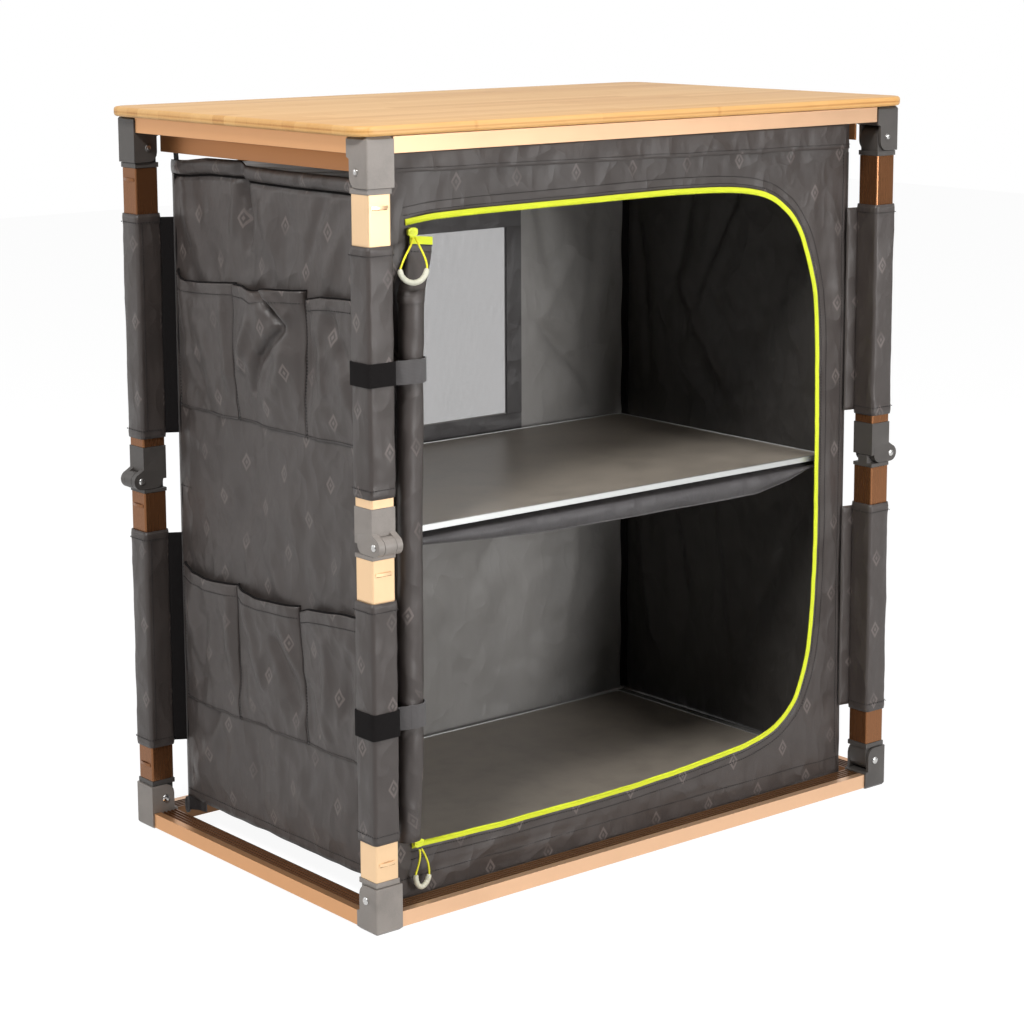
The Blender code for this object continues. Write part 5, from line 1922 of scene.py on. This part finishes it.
    def sling(self) -> None:
        """The sling under the shelf, whose front hangs in a slack curve with a hem."""
        half, columns, fold = self.sling_half, 90, self.sling_back[-1][1]
        lines = []
        for x in (-half + 2 * half * c / columns for c in range(columns + 1)):
            hem = float(np.interp(x, *self.sling_hem))
            line = list(self.sling_back)
            for share in (step / self.sling_drop for step in range(1, self.sling_drop + 1)):
                swell = 0.0030 * math.sin(math.pi * share) + 0.0012 * noisy(x * 22.0, share * 2.0, 3.0)
                line.append((-0.1690 - swell, fold + (hem - fold) * share))
            lines.append([Vector((x, y, z)) for y, z in line])
        rows = list(zip(*lines))
        maps = list(zip(*([(line[0].x, run) for run in runs(line)] for line in lines)))
        cloth = thickened(Sewing().grid(rows, maps).make("shelf_sling", SLING, smooth=70), 0.0010)
        seams = stitched("sling", [[(point + Vector((0, -0.0006, 0.0040)), FORWARD) for point in rows[-1][1:-1]]])
        hem = bar("sling_hem", [point + Vector((0, -0.0003, 0.0008)) for point in rows[-1]], 0.0022, 0.0032, TRIM)
        for thing in (cloth, seams, hem):
            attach(thing, "shelf")
            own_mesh(thing)

    def corner_piping(self) -> None:
        """The bound seams in the cabinet's inside corners, in black loop tape: partly the binding's own dark colour,
        partly painted shade in the corners.
        """
        for name, side in (("right", -1), ("left", 1)):
            x = side * (0.0035 - self.side)
            line = [Vector((x + side * 0.0009 * math.sin(i * 0.7), self.back - 0.0035, z))
                    for i, z in enumerate(np.linspace(self.low + 0.006, self.high - 0.006, 70))]
            # black loop tape darkens the piping beyond the binding cloth: painted shade in the inside corners
            piping = bar(f"corner_piping_{name}", line, 0.0038, 0.0080, LOOP_TAPE, (side, 1, 0))
            fold_down(bevelled(piping, 0.0010, 50))

    def pocket(self, name: str, back: float, front: float, row: PocketRow, shape: PocketShape) -> None:
        """One pocket: a slack sheet with a turned hem, and a black bar along its top edge that paints the shadow in
        its mouth.

        Args:
            name: The piece's name.
            back: The y of its back edge.
            front: The y of its front edge.
            row: The row that it stands in.
            shape: How its top runs and how it creases.
        """
        wide = back - front - 0.0012
        tall = row.high - row.low
        columns, levels = self.pocket_cells
        seed = shape.seed
        rows = []
        for v in (tall * r / levels for r in range(levels + 1)):
            line = []
            for u in (wide * c / columns for c in range(columns + 1)):
                share_u, share_v = u / wide, v / tall
                swell = math.sin(math.pi * min(1.0, share_u)) ** 0.45
                top = float(np.interp(share_u, *shape.top))
                lean = float(np.interp(share_u, (0.0, 1.0), shape.lean)) * share_v ** 2
                hem = 0.0006 if v > tall - 0.0125 else 0.0
                soft = 0.0026 * noisy(u * 24.0 + seed, v * 14.0, seed)
                soft += 0.0010 * (1.0 - 3.0 * abs(noisy(u * 34.0, v * 26.0, seed)))
                relief = shape.bulge * share_v ** 0.8 + hem + 1.35 * crease_lift(u, v, shape.creases) + soft
                wall_u, wall_v = self.back - (back - u - 0.0006), row.low + v - self.low
                wall = self.left.lift(wall_u, wall_v) + left_wall_bend(wall_u, wall_v)[2]
                out = wall + 0.0004 + max(0.0002, relief * swell)
                line.append(Vector((-self.side - out, back - 0.0006 - u - lean,
                                    row.low + v + (top - row.high) * share_v ** 2)))
            rows.append(line)
        maps = [[(seed + wide * c / columns, tall * r / levels) for c in range(columns + 1)]
                for r in range(levels + 1)]
        piece = thickened(Sewing().grid(rows, maps).make(name, OUTER, smooth=70), 0.0010, 1.0)
        outwards = Vector((-1, 0, 0))
        paths = (rows[round(levels * (1 - 0.0115 / tall))], rows[1], [line[1] for line in rows])
        seams = stitched(name, [[(point + outwards * 0.0013, outwards) for point in path] for path in paths])
        # a black bar along the pocket's top edge: painted shadow in the pocket's mouth
        lip_painted_shade = bar(f"{name}_lip", [point + Vector((0.0006, 0, 0.0004)) for point in rows[-1]], 0.0018, 0.0022,
                  LOOP_TAPE)
        self.declare(piece, wide + 0.006, tall + 0.004, seams, lip_painted_shade, held="gathered", lean=SIDE_LEAN)

    def straps(self) -> None:
        """The straps that hold the rolled door, a hanging strap at the back corner, a small loop and a flap."""
        for level, x in (("upper", -0.2894), ("lower", -0.2938)):
            z = STRAP_HEIGHTS[level]
            line = [Vector((-0.3176, -0.2000, z)), Vector((-0.3110, -0.2035, z)), Vector((-0.3030, -0.2065, z))]
            for angle in (math.radians(235 + 205 * step / 14) for step in range(15)):
                line.append(Vector((x + 0.0150 * math.cos(angle), -0.1945 + 0.0131 * math.sin(angle), z)))
            fold_down(bevelled(bar(f"{level}_door_strap", line, 0.0013, 0.0225, STRAP), 0.0003, 60, 1))
        hanging = [Vector((-0.3120, 0.1665 - 0.0035 * t, 0.7290 - 0.0270 * t)) for t in (0.0, 0.3, 0.6, 1.0)]
        loop = [Vector((-0.3110, 0.1745 + 0.0030 * math.sin(t), 0.0215 + 0.0085 * math.cos(t)))
                for t in np.linspace(0.3, 5.98, 22)]
        flap = [Vector((-0.3090 - 0.0010 * math.sin(y * 190.0), y, 0.0245 + (0.174 - y) * 0.16))
                for y in np.linspace(0.1740, 0.1400, 12)]
        # the hanging strap and the flap take the near-black cloth, which is painted shade
        fold_down(bar("top_corner_strap", hanging, 0.0012, 0.0075, WEB_PAINTED_SHADE, (0, 1, 0)),
                  bar("base_corner_loop", loop, 0.0012, 0.0030, STRAP, (1, 0, 0)),
                  bar("base_corner_flap", flap, 0.0016, 0.0170, WEB_PAINTED_SHADE))


@dataclass(frozen=True)
class RolledDoor:
    """The door, rolled up beside the opening: a real spiral of cloth with creases down its length."""

    low: float = 0.078
    high: float = 0.606
    top_middle: Pair = (-0.2884, -0.1950)
    low_middle: Pair = (-0.2955, -0.1935)
    flatness: Pair = (1.15, 0.94)
    radius: float = 0.0116
    turns: int = 13
    around: int = 22
    levels: int = 64
    cloth: float = 0.00045
    flat: Pair = (0.554, 0.604)
    gather_low: float = 0.594
    gather_middles: tuple[Pair, Pair] = ((-0.2884, -0.1949), (-0.2673, -0.1824))
    gather_radii: tuple[Pair, Pair] = ((0.0137, 0.0119), (0.0138, 0.0010))
    gather_top: float = 0.6472
    gather_cells: tuple[int, int] = (40, 18)

    def build(self) -> None:
        """Makes the roll."""
        rows = [self.spiral(r / self.levels) for r in range(self.levels + 1)]
        maps = [[(run, row[0].z) for run in runs(row)] for row in rows]
        piece = thickened(Sewing().grid(rows, maps).make("door_roll", OUTER, smooth=70), self.cloth, 0.0)
        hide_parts("rolled_door")
        LOG.info("rolled door: %.0f mm of cloth in the roll", runs(rows[0])[-1] * 1000)
        gather, seams = self.gathered_top()
        fold_down(piece, gather, seams)

    def spiral(self, share: float) -> list[Vector]:
        """The rolled cloth at a share of the roll's height, from its core outwards."""
        z = self.low + (self.high - self.low) * share
        middle = Vector(self.low_middle).lerp(Vector(self.top_middle), share)
        middle.x += 0.0010 * math.sin(share * 7.0)
        size = 1.0 - 0.10 * max(0.0, 1.0 - 2 * share) ** 5
        for strap in STRAP_HEIGHTS.values():
            size *= 1.0 - 0.07 * bell(z - strap, 0.018)
        row = []
        count = self.turns * self.around
        for turn in (i / count for i in range(count + 1)):
            angle = math.tau * self.turns * turn + 0.6
            x, y = math.cos(angle), math.sin(angle)
            wave = 0.085 * noisy(x * 1.5, y * 1.5, z * 9.0) + 0.05 * noisy(x * 3.0, y * 3.0, z * 34.0)
            radius = self.radius * (0.10 + 0.90 * turn) * size * (1.0 + wave)
            row.append(Vector((middle.x + radius * x * self.flatness[0],
                               middle.y + radius * y * self.flatness[1], z)))
        return row

    def gathered_top(self) -> tuple[Thing, Thing]:
        """The door's top, gathered from the roll up to the flat end at the zip, and its two hem lines."""
        around, steps = self.gather_cells
        rings = [self.gather_ring(r / steps) for r in range(steps + 1)]
        maps = [[(0.6 + 0.075 * i / around, 0.055 * r / steps) for i in range(around)] for r in range(steps + 1)]
        lines = [[(point + FORWARD * 0.0004, FORWARD) for point in rings[r][around // 2 + 2:around - 1]]
                 for r in (steps - 1, steps - 3)]
        return lofted("door_gather", rings, OUTER, maps, 60), stitched("door_gather", lines)

    def gather_ring(self, share: float) -> list[Vector]:
        """The gathered cloth's outline at a share of its height, a little pleated between its ends."""
        ease = share * share * (3 - 2 * share)
        low, top = (Vector(middle) for middle in self.gather_middles)
        middle = low.lerp(top, ease)
        ring = []
        for angle in (math.tau * i / self.gather_cells[0] for i in range(self.gather_cells[0])):
            x, y = math.cos(angle), math.sin(angle)
            pleat = 1.0 + 0.05 * math.sin(3 * angle + 1.0 + 2.0 * share) * math.sin(math.pi * share)
            ends = (Vector((x * a, y * b)) for a, b in self.gather_radii)
            spot = middle + Vector.lerp(*ends, ease) * pleat
            ring.append(Vector((*spot, self.gather_low + (self.gather_top - 0.0016 * x - self.gather_low) * share)))
        return ring


@dataclass(frozen=True)
class Shelves:
    """The shelf and the floor board, each with a bright aluminium edge, and the zip's end tab."""

    half: float = 0.287
    front: float = -0.172
    back: float = 0.158
    corner: float = 0.006

    def build(self) -> None:
        """Makes the boards and the tab."""
        for node, name, body, high, trim in (("shelf_board", "shelf_panel", "shelf", 0.375, 0.0050),
                                             ("floor_board", "floor_panel", "base", 0.0375, 0.0048)):
            ride_all([softened(node, name, BOARD, 0.6 * MM), self.edge(f"{name}_edge", high, trim)], body)
        line = [Vector((x, -0.1842 - 0.0003 * math.sin(i), 0.6502 - 0.0004 * i))
                for i, x in enumerate(np.linspace(-0.2805, -0.2545, 8))]
        tab = bar("zip_tab_tape", line, 0.0014, 0.0074, LIME_TAPE)
        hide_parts("zip_end_tab")
        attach(tab, "zip_tab")

    def edge(self, name: str, high: float, tall: float) -> Thing:
        """A square aluminium edging round a board."""
        profile = ((0.0009, -tall), (0.0009, 0.0001), (0.0004, 0.0006), (-0.0016, 0.0006), (-0.0018, 0.0001),
                   (-0.0018, -tall))
        corners = ((-1, self.front, -1), (1, self.front, -1), (1, self.back, 1), (-1, self.back, 1))
        rings = []
        for quarter, (sx, y, sy) in enumerate(corners):
            for angle in (math.radians(180 + 90 * quarter + 18 * step) for step in range(6)):
                middle = Vector((sx * (self.half - self.corner), y - sy * self.corner, high))
                out = Vector((math.cos(angle), math.sin(angle), 0))
                rings.append([middle + out * (self.corner + r) + UP * z for r, z in profile])
        rings.append(rings[0])
        return outward(Sewing().grid(rings, closed=True).make(name, SILVER, smooth=35))


def main() -> None:
    """Builds the whole scene, piece by piece."""
    Studio().build()
    ZipPulls().build()
    frame = FoldingFrame()
    frame.build()
    LegSleeves(frame).build()
    Cabinet().build()
    RolledDoor().build()
    Shelves().build()


if __name__ == "__main__":
    logging.basicConfig(level=logging.INFO)
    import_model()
    main()
